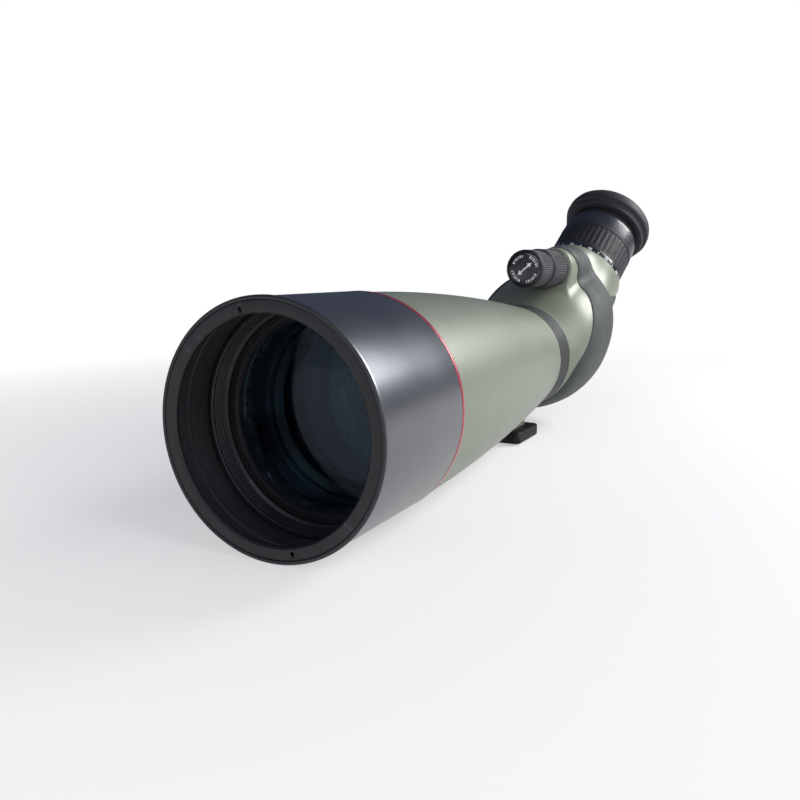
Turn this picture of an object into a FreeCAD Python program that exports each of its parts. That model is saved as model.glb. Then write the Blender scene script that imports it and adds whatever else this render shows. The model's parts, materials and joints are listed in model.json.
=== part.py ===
"""Angled spotting scope with a zoom eyepiece, built as separate sub-parts, one STEP file each.

Most parts are drawn upright in the tube frame: millimetres, the optical axis is Y, station 0 is
the front rim of the sunshade, stations grow towards the eyepiece, and +Z is up. The finished
frame has its origin at the mouth of the tripod thread, in the middle of the foot's underside.
"""
import FreeCAD, Part
import math
import os

from FreeCAD import Vector

# ---- driving dimensions -------------------------------------------------------------------------
HOOD_R = 50.0             # outside radius of the sunshade
HOOD_LENGTH = 67.4        # front rim to rear end
CLEAR_R = 40.0            # clear radius of the objective
AXIS_HEIGHT = 49.0        # optical axis above the tripod face
FOOT_STATION = 249.0      # middle of the foot
LEAN = 14.0               # degrees that the scope is turned in its mount collar at rest
EYE_ANGLE = 45.0          # degrees between the eyepiece and the optical axis
EYE_STATION = 317.0       # where the eyepiece axis meets the optical axis
KNOB_HEIGHT = 58.6        # focus knob axis above the optical axis

GAP = 0.05                # radial gap of a running or screwed fit
SEAM = 0.2                # axial gap between neighbouring rings
WALL = 2.2                # wall of the castings and tubes

# ---- stations and radii worked out from them ----------------------------------------------------
RED_START = HOOD_LENGTH + SEAM
RED_WIDTH = 2.0
RED_R = 48.7
TUBE_START = RED_START + RED_WIDTH
TUBE_FRONT_R = 48.4
COLLAR_START = 228.0
COLLAR_END = 255.8
TUBE_REAR_R = 33.6        # where the tube's outline would reach the collar's rear edge
TUBE_CURVE = 1.7          # exponent of the tube's bulging outline
NECK_R = 29.95
NECK_BORE_R = 27.4
NECK_END = 266.0
BAND_START = COLLAR_END + 1.0
BAND_END = 276.6
BAND_R = 33.4
CASTING_NECK_R = 31.9
SOCKET_R = 30.0
SOCKET_END = 74.0         # distance along the eyepiece axis
ARMOUR_THICKNESS = 1.4
ARMOUR_END = 64.0         # distance along the eyepiece axis

CELL_FRONT = 24.0
CELL_R = 47.3
CELL_THREAD_R = 46.5
LENS_SEAT_R = 42.0
RETAINER_FRONT = 34.0
LENS_STATION = 39.0

KNOB_FRONT = 240.0
FINE_R = 11.5
FINE_LENGTH = 23.0
COARSE_R = 12.2
COARSE_END = 294.0
HUMP_START = 296.0
HUMP_R = 13.4
SCREW_R = 4.0
FINE_SHAFT_R = 2.0

EYE_TUBE_R = 20.0
EYE_TUBE_BORE_R = 18.4
EYE_THREAD_R = 24.9
SCALE_RING_R = 28.4
SCALE_RING_END = 79.6
ZOOM_START = SCALE_RING_END + SEAM
ZOOM_END = 103.0
ZOOM_R = 27.5
CUP_BASE_END = 117.5
CUP_R = 32.0
CUP_FLANGE_START = 120.2
CUP_TOP = 136.0
ZOOM_SWEEP = 100.0        # degrees of zoom ring travel
ZOOM_TRAVEL = 4.6         # how far each zoom lens cell moves
PIN_R = 1.5

FOOT_WIDTH = 34.0
FOOT_LENGTH = 38.0
FOOT_THICKNESS = 7.0
THREAD_R = 3.1            # 1/4 inch tripod thread
TWIST_HOLE_R = 2.75
TWIST_HOLE_OFFSET = -14.5
TWIST_HOLE_DEPTH = 5.0
FOOT_SCREW_OFFSETS = (-7.7, 8.2)

GUIDE_ROD_R = 1.5
GUIDE_ROD_OFFSET = 25.0
ROD_RING_START = 268.5
ROD_RING_THICKNESS = 4.0
CRADLE_FRONT = 318.0
CRADLE_THICKNESS = 3.0
CRADLE_SCREW_R = 1.5
CRADLE_SCREW_END = 329.0
BOSS_R = 3.6
BOSS_PLACES = ((-24.5, -13.0), (-24.5, 13.0), (24.5, -13.0), (24.5, 13.0))
FOCUS_CELL_START = 285.0
FOCUS_CELL_LENGTH = 9.0
FOCUS_CELL_R = 20.5
NUT_START = 309.0
NUT_LENGTH = 7.0

LOCK_STATION = 241.5
LOCK_SCREW_R = 3.0
LOCK_HEAD_R = 9.0
LOCK_HEAD_START = 37.0
LOCK_HEAD_LENGTH = 9.2
LOCK_PAD_R = 3.4

Y_AXIS = Vector(0, 1, 0)
ORIGIN = Vector(0, 0, 0)


# ---- placing and saving --------------------------------------------------------------------------
def on_mount(shape):
    """Moves a part drawn in the tube frame to the finished frame, without the lean."""
    placed = shape.copy()
    placed.translate(Vector(0, -FOOT_STATION, AXIS_HEIGHT))
    return placed


def on_scope(shape):
    """Moves a part of the turning scope: leans it about the optical axis first."""
    leaned = shape.copy()
    leaned.rotate(ORIGIN, Y_AXIS, LEAN)
    return on_mount(leaned)


def on_eye_axis(shape):
    """Stands a part drawn along Y on the eyepiece axis, still in the tube frame."""
    turned_up = shape.copy()
    turned_up.rotate(ORIGIN, Vector(1, 0, 0), EYE_ANGLE)
    turned_up.translate(Vector(0, EYE_STATION, 0))
    return turned_up


def on_knob_axis(shape):
    """Lifts a part drawn along Y to the focus knob's axis."""
    lifted = shape.copy()
    lifted.translate(Vector(0, 0, KNOB_HEIGHT))
    return lifted


def save(name, shape):
    shape.exportStep(os.path.join("parts", name + ".step"))


# ---- drawing helpers -----------------------------------------------------------------------------
def turned(*pieces):
    """Solid of revolution about Y. A piece is (radius, station), or a list of them for a curve."""
    edges = []
    first = None
    last = None
    for piece in pieces:
        curve = piece if isinstance(piece, list) else [piece]
        points = [Vector(radius, station, 0) for radius, station in curve]
        if last is None:
            first = points[0]
        elif last.distanceToPoint(points[0]) > 1e-6:
            edges.append(Part.makeLine(last, points[0]))
        if len(points) > 1:
            spline = Part.BSplineCurve()
            spline.interpolate(points)
            edges.append(spline.toShape())
        last = points[-1]
    edges.append(Part.makeLine(last, first))
    return Part.Face(Part.Wire(edges)).revolve(ORIGIN, Y_AXIS, 360)


def ring(inner, outer, start, end):
    return turned((inner, start), (outer, start), (outer, end), (inner, end))


def rod(radius, start, end, x=0.0, z=0.0):
    """Round bar along Y."""
    return Part.makeCylinder(radius, end - start, Vector(x, start, z), Y_AXIS)


def cross_rod(radius, start, end, station, z=0.0):
    """Round bar along X."""
    return Part.makeCylinder(radius, end - start, Vector(start, station, z), Vector(1, 0, 0))


def block(x0, x1, y0, y1, z0, z1):
    return Part.makeBox(x1 - x0, y1 - y0, z1 - z0, Vector(x0, y0, z0))


def lens(radius, front, back, front_bulge, back_bulge):
    """Lens along Y with edge stations front and back, each face bulging outwards by its bulge."""
    body = rod(radius, front - max(front_bulge, 0), back + max(back_bulge, 0))
    for edge, bulge, side in ((front, front_bulge, -1), (back, back_bulge, 1)):
        curve = (radius ** 2 + bulge ** 2) / (2 * abs(bulge))
        pole = edge + side * bulge
        if bulge > 0:
            ball = Part.makeSphere(curve, Vector(0, pole - side * curve, 0))
            body = body.common(ball)
        else:
            ball = Part.makeSphere(curve, Vector(0, pole + side * curve, 0))
            body = body.cut(ball)
    return body


def tube_radius(station):
    """Outside radius of the bulging tube and the collar that continues it."""
    share = (station - TUBE_START) / (COLLAR_END - TUBE_START)
    return TUBE_FRONT_R - (TUBE_FRONT_R - TUBE_REAR_R) * share ** TUBE_CURVE


def tube_curve(start, end, inset=0.0, count=9):
    stations = [start + (end - start) * i / (count - 1) for i in range(count)]
    return [(tube_radius(station) - inset, station) for station in stations]


# ---- sunshade ------------------------------------------------------------------------------------
def sunshade_tube():
    lip_r = HOOD_R - 1.6
    bore_r = CELL_R + 0.6
    return turned((bore_r, 5.0), (lip_r, 5.0), (lip_r, 0.0), (HOOD_R - 0.6, 0.0), (HOOD_R, 0.6),
                  (HOOD_R, 2.2), (HOOD_R - 0.5, 3.0), (HOOD_R - 0.9, HOOD_LENGTH),
                  (bore_r, HOOD_LENGTH))


def front_trim_ring():
    outer = HOOD_R - 1.6 - GAP
    bore = 43.3
    plain = turned((bore + 0.6, 0.4), (outer, 0.4), (outer, 4.9), (bore + 2.4, 4.9),
                   (bore + 2.4, 2.9), (bore, 2.9), (bore, 1.0))
    hole_r = 0.8
    middle = (bore + outer) / 2
    for side in (-1, 1):
        angle = math.radians(117)
        x = side * middle * math.cos(angle)
        z = side * middle * math.sin(angle)
        plain = plain.cut(rod(hole_r, 0.0, 2.4, x, z))
    return plain


def sunshade_glide():
    """Thin plastic sleeve inside the sunshade's rear end that rubs on the objective cell."""
    return ring(CELL_R + GAP, CELL_R + 0.6, HOOD_LENGTH - 9.0, HOOD_LENGTH - 1.0)


# ---- objective -----------------------------------------------------------------------------------
def red_ring():
    return turned((CELL_THREAD_R + 0.1, RED_START), (RED_R, RED_START), (RED_R, TUBE_START - SEAM),
                  (CELL_THREAD_R + 0.1, TUBE_START - SEAM))


def objective_cell():
    shoulder = 57.0
    return turned((CELL_R - 2.4, CELL_FRONT + 0.6), (CELL_R - 1.8, CELL_FRONT),
                  (CELL_R - 0.4, CELL_FRONT), (CELL_R, CELL_FRONT + 0.4),
                  (CELL_R, RED_START - SEAM), (CELL_THREAD_R, RED_START - SEAM),
                  (CELL_THREAD_R, TUBE_START + 12), (CLEAR_R, TUBE_START + 12),
                  (CLEAR_R, shoulder), (LENS_SEAT_R, shoulder), (LENS_SEAT_R, RETAINER_FRONT + 4),
                  (CELL_R - 3.2, RETAINER_FRONT + 4), (CELL_R - 3.2, RETAINER_FRONT - 4))


def objective_retainer():
    outer = CELL_R - 3.2 - GAP
    plain = turned((CLEAR_R, RETAINER_FRONT + 1.2), (CLEAR_R + 0.8, RETAINER_FRONT),
                   (outer, RETAINER_FRONT), (outer, RETAINER_FRONT + 3.8),
                   (CLEAR_R, RETAINER_FRONT + 3.8))
    slots = [block(s * CLEAR_R - 6, s * CLEAR_R + 6, RETAINER_FRONT - 1, RETAINER_FRONT + 1.5,
                   -0.8, 0.8) for s in (-1, 1)]
    return plain.cut(Part.makeCompound(slots))


def lens_seal():
    start = RETAINER_FRONT + 4.0
    return turned((CLEAR_R + 0.3, start), (LENS_SEAT_R - 0.1, start),
                  (LENS_SEAT_R - 0.1, LENS_STATION - 0.07), (CLEAR_R + 0.3, LENS_STATION - 0.31))


def objective_front_lens():
    return lens(LENS_SEAT_R - GAP, LENS_STATION, LENS_STATION + 3.4, 3.2, 2.2)


def lens_spacer():
    return turned((CLEAR_R + 0.4, LENS_STATION + 3.65), (LENS_SEAT_R - GAP, LENS_STATION + 3.45),
                  (LENS_SEAT_R - GAP, LENS_STATION + 6.95), (CLEAR_R + 0.4, LENS_STATION + 6.95))


def objective_rear_lens():
    return lens(LENS_SEAT_R - GAP, LENS_STATION + 7.0, LENS_STATION + 17.9, -1.6, -0.8)


# ---- tube ----------------------------------------------------------------------------------------
def objective_tube():
    thread_end = TUBE_START + 14
    step = COLLAR_START - SEAM
    outside = tube_curve(TUBE_START, step)
    inside = tube_curve(step - 4.0, thread_end, WALL)
    return turned((CELL_THREAD_R + GAP, TUBE_START), outside, (NECK_R, step), (NECK_R, NECK_END),
                  (NECK_BORE_R, NECK_END), (NECK_BORE_R, step - 4.0), inside,
                  (CELL_THREAD_R + GAP, thread_end - 1.0))


def tube_baffle(station, opening):
    """Sprung knife-edge ring that stops stray light."""
    edge = tube_radius(station) - WALL - 0.1
    edge_behind = tube_radius(station + 6) - WALL - 0.1
    return turned((opening, station), (edge - 1.2, station + 0.4), (edge, station),
                  (edge_behind, station + 6), (edge_behind - 0.8, station + 6),
                  (edge - 1.2, station + 1.4), (opening, station + 0.6))


# ---- mount ---------------------------------------------------------------------------------------
def pedestal_section(half_width, front, rear, z):
    corner = 4.0
    flat = Part.makePlane(2 * (half_width - corner), rear - front - 2 * corner,
                          Vector(-half_width + corner, front + corner, z))
    return flat.makeOffset2D(corner).OuterWire


def mount_collar():
    outside = tube_curve(COLLAR_START, COLLAR_END)
    hoop = turned((NECK_R + GAP, COLLAR_START), outside, (NECK_R + GAP, COLLAR_END))
    top = -26.0
    foot_top = FOOT_THICKNESS - AXIS_HEIGHT
    wires = [pedestal_section(12.0, 235.0, 261.5, foot_top),
             pedestal_section(12.6, 234.5, 259.5, foot_top + 3),
             pedestal_section(15.5, 231.5, 255.8, foot_top + 9),
             pedestal_section(20.0, 229.5, 255.8, top)]
    stem = Part.makeLoft(wires, True, False)
    stem = stem.cut(rod(NECK_R + GAP, COLLAR_START - 5, NECK_END + 20))
    stem = stem.common(block(-60, 60, COLLAR_START, COLLAR_END + 8, -60, 0))
    stem = stem.cut(ring(NECK_R - 2, BAND_R + 0.6, COLLAR_END, NECK_END + 10))
    collar = hoop.fuse(stem).removeSplitter()
    collar = collar.cut(cross_rod(LOCK_SCREW_R + 1.5, -60, -NECK_R + 1, LOCK_STATION))
    for offset in FOOT_SCREW_OFFSETS:
        collar = collar.cut(Part.makeCylinder(1.65, 7.0, Vector(0, FOOT_STATION + offset, foot_top)))
    return collar


def thrust_ring():
    """Pale plastic washer between the collar and the grip band."""
    return turned((NECK_R + GAP, COLLAR_END), (TUBE_REAR_R, COLLAR_END),
                  (TUBE_REAR_R - 0.1, BAND_START - SEAM), (NECK_R + GAP, BAND_START - SEAM))


def foot_plate():
    corner = 4.0
    bottom = -AXIS_HEIGHT
    flat = Part.makePlane(FOOT_WIDTH - 2 * corner, FOOT_LENGTH - 2 * corner,
                          Vector(-FOOT_WIDTH / 2 + corner,
                                 FOOT_STATION - FOOT_LENGTH / 2 + corner, bottom))
    plate = Part.Face(flat.makeOffset2D(corner).OuterWire).extrude(Vector(0, 0, FOOT_THICKNESS))
    rims = [edge for edge in plate.Edges
            if abs(edge.Vertexes[0].Z - edge.Vertexes[-1].Z) < 0.01]
    plate = plate.makeChamfer(0.8, rims)
    plate = plate.cut(Part.makeCylinder(THREAD_R, FOOT_THICKNESS, Vector(0, FOOT_STATION, bottom)))
    plate = plate.cut(Part.makeCylinder(TWIST_HOLE_R, TWIST_HOLE_DEPTH,
                                        Vector(0, FOOT_STATION + TWIST_HOLE_OFFSET, bottom)))
    for offset in FOOT_SCREW_OFFSETS:
        plate = plate.cut(foot_screw_form(offset, 0.1))
    return plate


def foot_screw_form(offset, extra):
    """Countersunk screw from below, made larger all round by extra for its hole."""
    base = -AXIS_HEIGHT
    place = Vector(0, FOOT_STATION + offset, base - (1.0 if extra else -0.3))
    head = Part.makeCylinder(3.0 + extra, 0.9 + (1.0 if extra else -0.3), place)
    cone = Part.makeCone(3.0 + extra, 1.6 + extra, 1.6, Vector(0, FOOT_STATION + offset, base + 0.9))
    shank = Part.makeCylinder(1.6 + extra, 10.4, Vector(0, FOOT_STATION + offset, base + 2.4))
    return head.fuse(cone).fuse(shank).removeSplitter()


def foot_screws():
    screws = []
    for offset in FOOT_SCREW_OFFSETS:
        socket = Part.makeCylinder(1.0, 1.4, Vector(0, FOOT_STATION + offset, -AXIS_HEIGHT))
        screws.append(foot_screw_form(offset, 0.0).cut(socket))
    return Part.makeCompound(screws)


# ---- collar lock ---------------------------------------------------------------------------------
def lock_bush():
    """Threaded insert in the collar for the lock screw."""
    start = -(tube_radius(LOCK_STATION) + 1.2)
    solid = cross_rod(LOCK_SCREW_R + 1.5 - GAP, start, -NECK_R - 2.2, LOCK_STATION)
    return solid.cut(cross_rod(LOCK_SCREW_R + GAP, start - 1, -NECK_R, LOCK_STATION))


def lock_pad():
    """Nylon shoe that the lock screw pushes on the tube's neck."""
    outer = -NECK_R - 2.0
    return cross_rod(LOCK_PAD_R, outer, -NECK_R - 0.7, LOCK_STATION)


def lock_screw():
    stud = cross_rod(LOCK_SCREW_R, -LOCK_HEAD_START - 6, -NECK_R - 2.1, LOCK_STATION)
    return stud


def lock_knob():
    head = cross_rod(LOCK_HEAD_R, -LOCK_HEAD_START - LOCK_HEAD_LENGTH, -LOCK_HEAD_START, LOCK_STATION)
    for i in range(8):
        angle = math.radians(45 * i)
        reach = LOCK_HEAD_R + 1.4
        head = head.cut(cross_rod(2.4, -LOCK_HEAD_START - LOCK_HEAD_LENGTH - 1, -LOCK_HEAD_START + 1,
                                  LOCK_STATION + reach * math.cos(angle), reach * math.sin(angle)))
    return head.cut(cross_rod(LOCK_SCREW_R + 0.01, -LOCK_HEAD_START - 6.0, -LOCK_HEAD_START + 1,
                              LOCK_STATION))


# ---- rear casting --------------------------------------------------------------------------------
# station, half width, height of the widest point, top, bottom, roundness exponent
BODY_SECTIONS = (
    (276.6, 33.4, 0.0, 33.4, -33.4, 2.00),
    (283.0, 37.0, 3.0, 38.5, -34.0, 2.08),
    (291.0, 39.6, 7.0, 45.0, -34.4, 2.15),
    (300.0, 41.2, 10.0, 49.5, -34.2, 2.20),
    (315.0, 42.0, 13.0, 53.5, -32.5, 2.25),
    (330.0, 41.6, 15.0, 56.5, -28.5, 2.25),
    (342.0, 38.6, 17.0, 58.5, -21.0, 2.20),
    (352.0, 32.5, 20.0, 59.0, -11.0, 2.10),
    (360.0, 24.0, 24.0, 57.0, 0.0, 2.00),
)


def body_section(station, half_width, middle, top, bottom, exponent, outset):
    count = 28
    points = []
    for i in range(count):
        angle = 2 * math.pi * i / count
        c = math.cos(angle)
        s = math.sin(angle)
        height = (top - middle if s > 0 else middle - bottom) + outset
        x = math.copysign(abs(c) ** (2 / exponent), c) * (half_width + outset)
        z = middle + math.copysign(abs(s) ** (2 / exponent), s) * height
        points.append(Vector(x, station, z))
    spline = Part.BSplineCurve()
    spline.interpolate(Points=points, PeriodicFlag=True)
    return Part.Wire([spline.toShape()])


def casting_form(outset, start_trim=0.0):
    """Outside of the prism casting, grown or shrunk by outset."""
    wires = [body_section(*section, outset) for section in BODY_SECTIONS]
    body = Part.makeLoft(wires, True, False)
    socket = on_eye_axis(rod(SOCKET_R + outset, 0.0, SOCKET_END + (outset if outset < 0 else 0)))
    belly = Part.makeSphere(SOCKET_R + 1.0 + outset, Vector(0, EYE_STATION, -0.5))
    hump_back = 352.0 + outset
    hump_start = HUMP_START - outset + start_trim
    hump = rod(HUMP_R + outset, hump_start, hump_back, 0.0, KNOB_HEIGHT)
    web = block(-HUMP_R - outset, HUMP_R + outset, hump_start, hump_back, 20.0, KNOB_HEIGHT)
    limit = on_eye_axis(rod(200, -200, SOCKET_END + (outset if outset < 0 else 0)))
    return body.fuse([socket, belly, hump, web]).common(limit)


def prism_housing():
    outside = casting_form(0.0)
    neck = rod(CASTING_NECK_R, BAND_START, BAND_END + 4)
    cavity = casting_form(-WALL).common(block(-90, 90, BAND_END + 1.5, 450, -90, 120))
    shell = outside.fuse(neck).cut(cavity)
    bosses = [rod(BOSS_R, CRADLE_FRONT + CRADLE_THICKNESS, 356, x, z) for x, z in BOSS_PLACES]
    shell = shell.fuse(Part.makeCompound(bosses).common(outside))
    shell = shell.cut(rod(NECK_R + GAP, BAND_START - 1, NECK_END + GAP))
    shell = shell.cut(rod(NECK_BORE_R, NECK_END, BAND_END + 4))
    shell = shell.cut(on_eye_axis(rod(EYE_THREAD_R + GAP, 30, SOCKET_END + 1)))
    shell = shell.cut(on_knob_axis(rod(SCREW_R + 2.5, HUMP_START - 12, HUMP_START + 12)))
    for x, z in BOSS_PLACES:
        shell = shell.cut(rod(CRADLE_SCREW_R + 0.02, CRADLE_FRONT, CRADLE_SCREW_END + 1, x, z))
    return shell


def armour_region():
    """Everything behind the seam line, seen from the side, and short of the socket's end."""
    points = [(277.4, -60), (277.4, -20), (279, -8), (282, 4), (288, 14), (297, 29.5), (304, 40),
              (311, 48), (313, 56), (309, 68), (308, 72.6), (308, 100), (430, 100), (430, -60)]
    wire = Part.makePolygon([Vector(-60, y, z) for y, z in points + points[:1]])
    slab = Part.Face(wire).extrude(Vector(120, 0, 0))
    return slab.common(on_eye_axis(rod(150, -150, ARMOUR_END)))


def rubber_armour():
    skin = casting_form(ARMOUR_THICKNESS).cut(casting_form(0.0))
    skin = skin.common(armour_region())
    front_room = rod(BAND_R + 4, 0, BAND_END + 0.4)
    skin = skin.cut(front_room)
    solids = sorted(skin.Solids, key=lambda solid: solid.Volume)
    return solids[-1]


def grip_band():
    return turned((CASTING_NECK_R + 0.02, BAND_START + SEAM), (BAND_R - 0.3, BAND_START + SEAM),
                  (BAND_R, BAND_START + SEAM + 0.4), (BAND_R, BAND_END - SEAM - 0.4),
                  (BAND_R - 0.3, BAND_END - SEAM), (CASTING_NECK_R + 0.02, BAND_END - SEAM))


# ---- prism ---------------------------------------------------------------------------------------
PRISM_APEX = (325.0, 16.0)
PRISM_SIDE = 30.7
PRISM_HALF_WIDTH = 14.5


def prism_outline(grow):
    """Corners of the 45 degree roof prism, seen from the side."""
    apex_y, apex_z = PRISM_APEX
    slant = math.radians(45)
    low = (apex_y, apex_z - PRISM_SIDE)
    rear = (apex_y + PRISM_SIDE * math.sin(slant), apex_z - PRISM_SIDE * math.cos(slant))
    centre_y = (apex_y + low[0] + rear[0]) / 3
    centre_z = (apex_z + low[1] + rear[1]) / 3
    corners = []
    for y, z in (PRISM_APEX, low, rear):
        reach = math.hypot(y - centre_y, z - centre_z)
        share = (reach + grow) / reach
        corners.append((centre_y + (y - centre_y) * share, centre_z + (z - centre_z) * share))
    return corners


def wedge(grow, x0, x1):
    corners = prism_outline(grow)
    wire = Part.makePolygon([Vector(x0, y, z) for y, z in corners + corners[:1]])
    return Part.Face(wire).extrude(Vector(x1 - x0, 0, 0))


def roof_prism():
    return wedge(0.0, -PRISM_HALF_WIDTH, PRISM_HALF_WIDTH)


def prism_cradle():
    """Front plate with a window, and two cheeks that hold the prism between them."""
    rear = CRADLE_FRONT + CRADLE_THICKNESS
    plate = block(-28.5, 28.5, CRADLE_FRONT, rear, -17, 17)
    plate = plate.cut(rod(13.0, CRADLE_FRONT - 1, rear + 1))
    for x, z in BOSS_PLACES:
        plate = plate.cut(rod(CRADLE_SCREW_R + 0.1, CRADLE_FRONT - 1, rear + 1, x, z))
    for side in (-1, 1):
        plate = plate.cut(rod(GUIDE_ROD_R + 0.02, CRADLE_FRONT - 1, CRADLE_FRONT + 2.2,
                              side * GUIDE_ROD_OFFSET))
    cradle = plate
    for side in (-1, 1):
        near = side * (PRISM_HALF_WIDTH + 0.1)
        far = side * (PRISM_HALF_WIDTH + 2.6)
        cheek = wedge(-1.0, min(near, far), max(near, far))
        arm = block(min(near, far), max(near, far), rear - 0.5, PRISM_APEX[0] + 6, -9, 11)
        cradle = cradle.fuse([cheek, arm])
    return cradle.removeSplitter()


def prism_clamp():
    """Sprung strap over the prism's upper face."""
    apex_y, apex_z = PRISM_APEX
    half = PRISM_HALF_WIDTH + 2.6
    strap = block(-half, half, apex_y + 0.6, apex_y + 5.6, 0, 0.8)
    strap.translate(Vector(0, 0, 0.0))
    strap.rotate(Vector(0, apex_y, 0), Vector(1, 0, 0), -45)
    strap.translate(Vector(0, 0.15, apex_z + 0.1))
    return strap


# ---- focusing ------------------------------------------------------------------------------------
def rod_ring():
    """Ring in the casting's mouth that holds the front ends of the guide rods."""
    end = ROD_RING_START + ROD_RING_THICKNESS
    body = ring(21.0, NECK_BORE_R - GAP, ROD_RING_START, end)
    for side in (-1, 1):
        body = body.cut(rod(GUIDE_ROD_R + 0.02, ROD_RING_START + 1, end + 1,
                            side * GUIDE_ROD_OFFSET))
    return body


def guide_rods():
    rods = [rod(GUIDE_ROD_R, ROD_RING_START + 1.1, CRADLE_FRONT + 2.0, side * GUIDE_ROD_OFFSET)
            for side in (-1, 1)]
    return Part.makeCompound(rods)


def focus_carriage():
    """Lens cell with two ears on the guide rods and an arm up to the nut."""
    end = FOCUS_CELL_START + FOCUS_CELL_LENGTH
    cell = ring(18.1, FOCUS_CELL_R, FOCUS_CELL_START, end)
    seat = ring(16.0, FOCUS_CELL_R, end - 1.5, end)
    carriage = cell.fuse(seat)
    for side in (-1, 1):
        ear = rod(3.6, FOCUS_CELL_START, end, side * GUIDE_ROD_OFFSET)
        neck = block(min(side * 19, side * 23), max(side * 19, side * 23), FOCUS_CELL_START, end,
                     -2.5, 2.5)
        carriage = carriage.fuse([ear, neck])
    nut_end = NUT_START + NUT_LENGTH
    bar = block(-4, 4, FOCUS_CELL_START + 2, nut_end, 19.2, 24.0)
    post = block(-4, 4, NUT_START, nut_end, 19.2, KNOB_HEIGHT)
    head = rod(7.5, NUT_START, nut_end, 0.0, KNOB_HEIGHT)
    carriage = carriage.fuse([bar, post, head])
    carriage = carriage.cut(rod(18.1, FOCUS_CELL_START - 1, end - 1.5))
    carriage = carriage.cut(rod(16.0, end - 2, end + 1))
    carriage = carriage.cut(rod(SCREW_R + GAP, NUT_START - 1, nut_end + 1, 0.0, KNOB_HEIGHT))
    for side in (-1, 1):
        carriage = carriage.cut(rod(GUIDE_ROD_R + GAP, FOCUS_CELL_START - 1, end + 1,
                                    side * GUIDE_ROD_OFFSET))
    return carriage.removeSplitter()


def focus_lens():
    end = FOCUS_CELL_START + FOCUS_CELL_LENGTH
    return lens(18.05, end - 6.5, end - 1.55, 1.4, -1.2)


def focus_bush():
    return on_knob_axis(ring(SCREW_R + GAP, SCREW_R + 2.45, HUMP_START - 0.5, HUMP_START + 4))


def coarse_shaft():
    """Hollow shaft: hub inside the coarse grip, bearing journal, then the lead screw."""
    start = KNOB_FRONT + FINE_LENGTH + SEAM
    hub = ring(FINE_SHAFT_R + GAP, COARSE_R - 2.6, start + 1, COARSE_END - 3)
    shaft = ring(FINE_SHAFT_R + GAP, SCREW_R, COARSE_END - 3, 338.0)
    return on_knob_axis(hub.fuse(shaft).removeSplitter())


def coarse_grip():
    start = KNOB_FRONT + FINE_LENGTH + SEAM
    return on_knob_axis(turned((FINE_SHAFT_R + 0.6, start), (COARSE_R - 0.8, start),
                               (COARSE_R, start + 0.8), (COARSE_R, COARSE_END - 0.8),
                               (COARSE_R - 0.8, COARSE_END), (SCREW_R + 0.6, COARSE_END),
                               (SCREW_R + 0.6, COARSE_END - 2.95),
                               (COARSE_R - 2.58, COARSE_END - 2.95),
                               (COARSE_R - 2.58, start + 0.95), (FINE_SHAFT_R + 0.6, start + 0.95)))


def fine_grip():
    end = KNOB_FRONT + FINE_LENGTH
    return on_knob_axis(turned((FINE_R - 1.2, KNOB_FRONT), (FINE_R - 0.6, KNOB_FRONT),
                               (FINE_R, KNOB_FRONT + 0.6), (FINE_R, end - 0.6),
                               (FINE_R - 0.6, end), (FINE_R - 2.4, end),
                               (FINE_R - 2.4, KNOB_FRONT + 2.0), (FINE_R - 1.2, KNOB_FRONT + 2.0)))


def fine_cap():
    return on_knob_axis(rod(FINE_R - 1.25, KNOB_FRONT + 0.3, KNOB_FRONT + 1.95))


def fine_shaft():
    """Hub of the fine knob and the thin shaft that runs back inside the coarse shaft."""
    end = KNOB_FRONT + FINE_LENGTH
    hub = rod(FINE_R - 2.45, KNOB_FRONT + 2.0, end - 0.4)
    shaft = rod(FINE_SHAFT_R, end - 0.4, 334.0)
    return on_knob_axis(hub.fuse(shaft).removeSplitter())


# ---- eyepiece ------------------------------------------------------------------------------------
def slot_cutter(start, end, side):
    """Straight slot through the eyepiece tube for a lens cell's drive pin."""
    width = PIN_R + GAP
    reach = EYE_TUBE_R + 3
    x0, x1 = sorted((side * (EYE_TUBE_BORE_R - 3), side * reach))
    middle = block(x0, x1, start, end, -width, width)
    ends = [cross_rod(width, x0, x1, station) for station in (start, end)]
    return middle.fuse(ends)


ZOOM_CELL_HALF = 4.0      # half length of a zoom lens cell
FRONT_PIN = 82.4          # rest station of the lower zoom cell's pin, along the eyepiece axis
REAR_PIN = 100.4          # rest station of the upper zoom cell's pin


def eyepiece_barrel():
    """Fixed tube of the eyepiece, screwed into the socket, with slots for the drive pins."""
    body = turned((EYE_TUBE_BORE_R, 58.0), (EYE_THREAD_R, 58.0), (EYE_THREAD_R, SOCKET_END),
                  (SCALE_RING_R - 3.0, SOCKET_END + SEAM), (SCALE_RING_R - 3.0, SCALE_RING_END),
                  (EYE_TUBE_R, SCALE_RING_END), (EYE_TUBE_R, 126.0), (EYE_TUBE_BORE_R, 126.0))
    body = body.cut(slot_cutter(FRONT_PIN, FRONT_PIN + ZOOM_TRAVEL, 1))
    body = body.cut(slot_cutter(REAR_PIN - ZOOM_TRAVEL, REAR_PIN, -1))
    return on_eye_axis(body)


def scale_ring():
    """Gloss ring that carries the magnification numbers."""
    inner = SCALE_RING_R - 2.95
    return on_eye_axis(turned((inner, SOCKET_END + SEAM), (SCALE_RING_R - 0.5, SOCKET_END + SEAM),
                              (SCALE_RING_R, SOCKET_END + SEAM + 0.5),
                              (SCALE_RING_R, SCALE_RING_END - 0.5),
                              (SCALE_RING_R - 0.5, SCALE_RING_END), (inner, SCALE_RING_END)))


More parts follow.
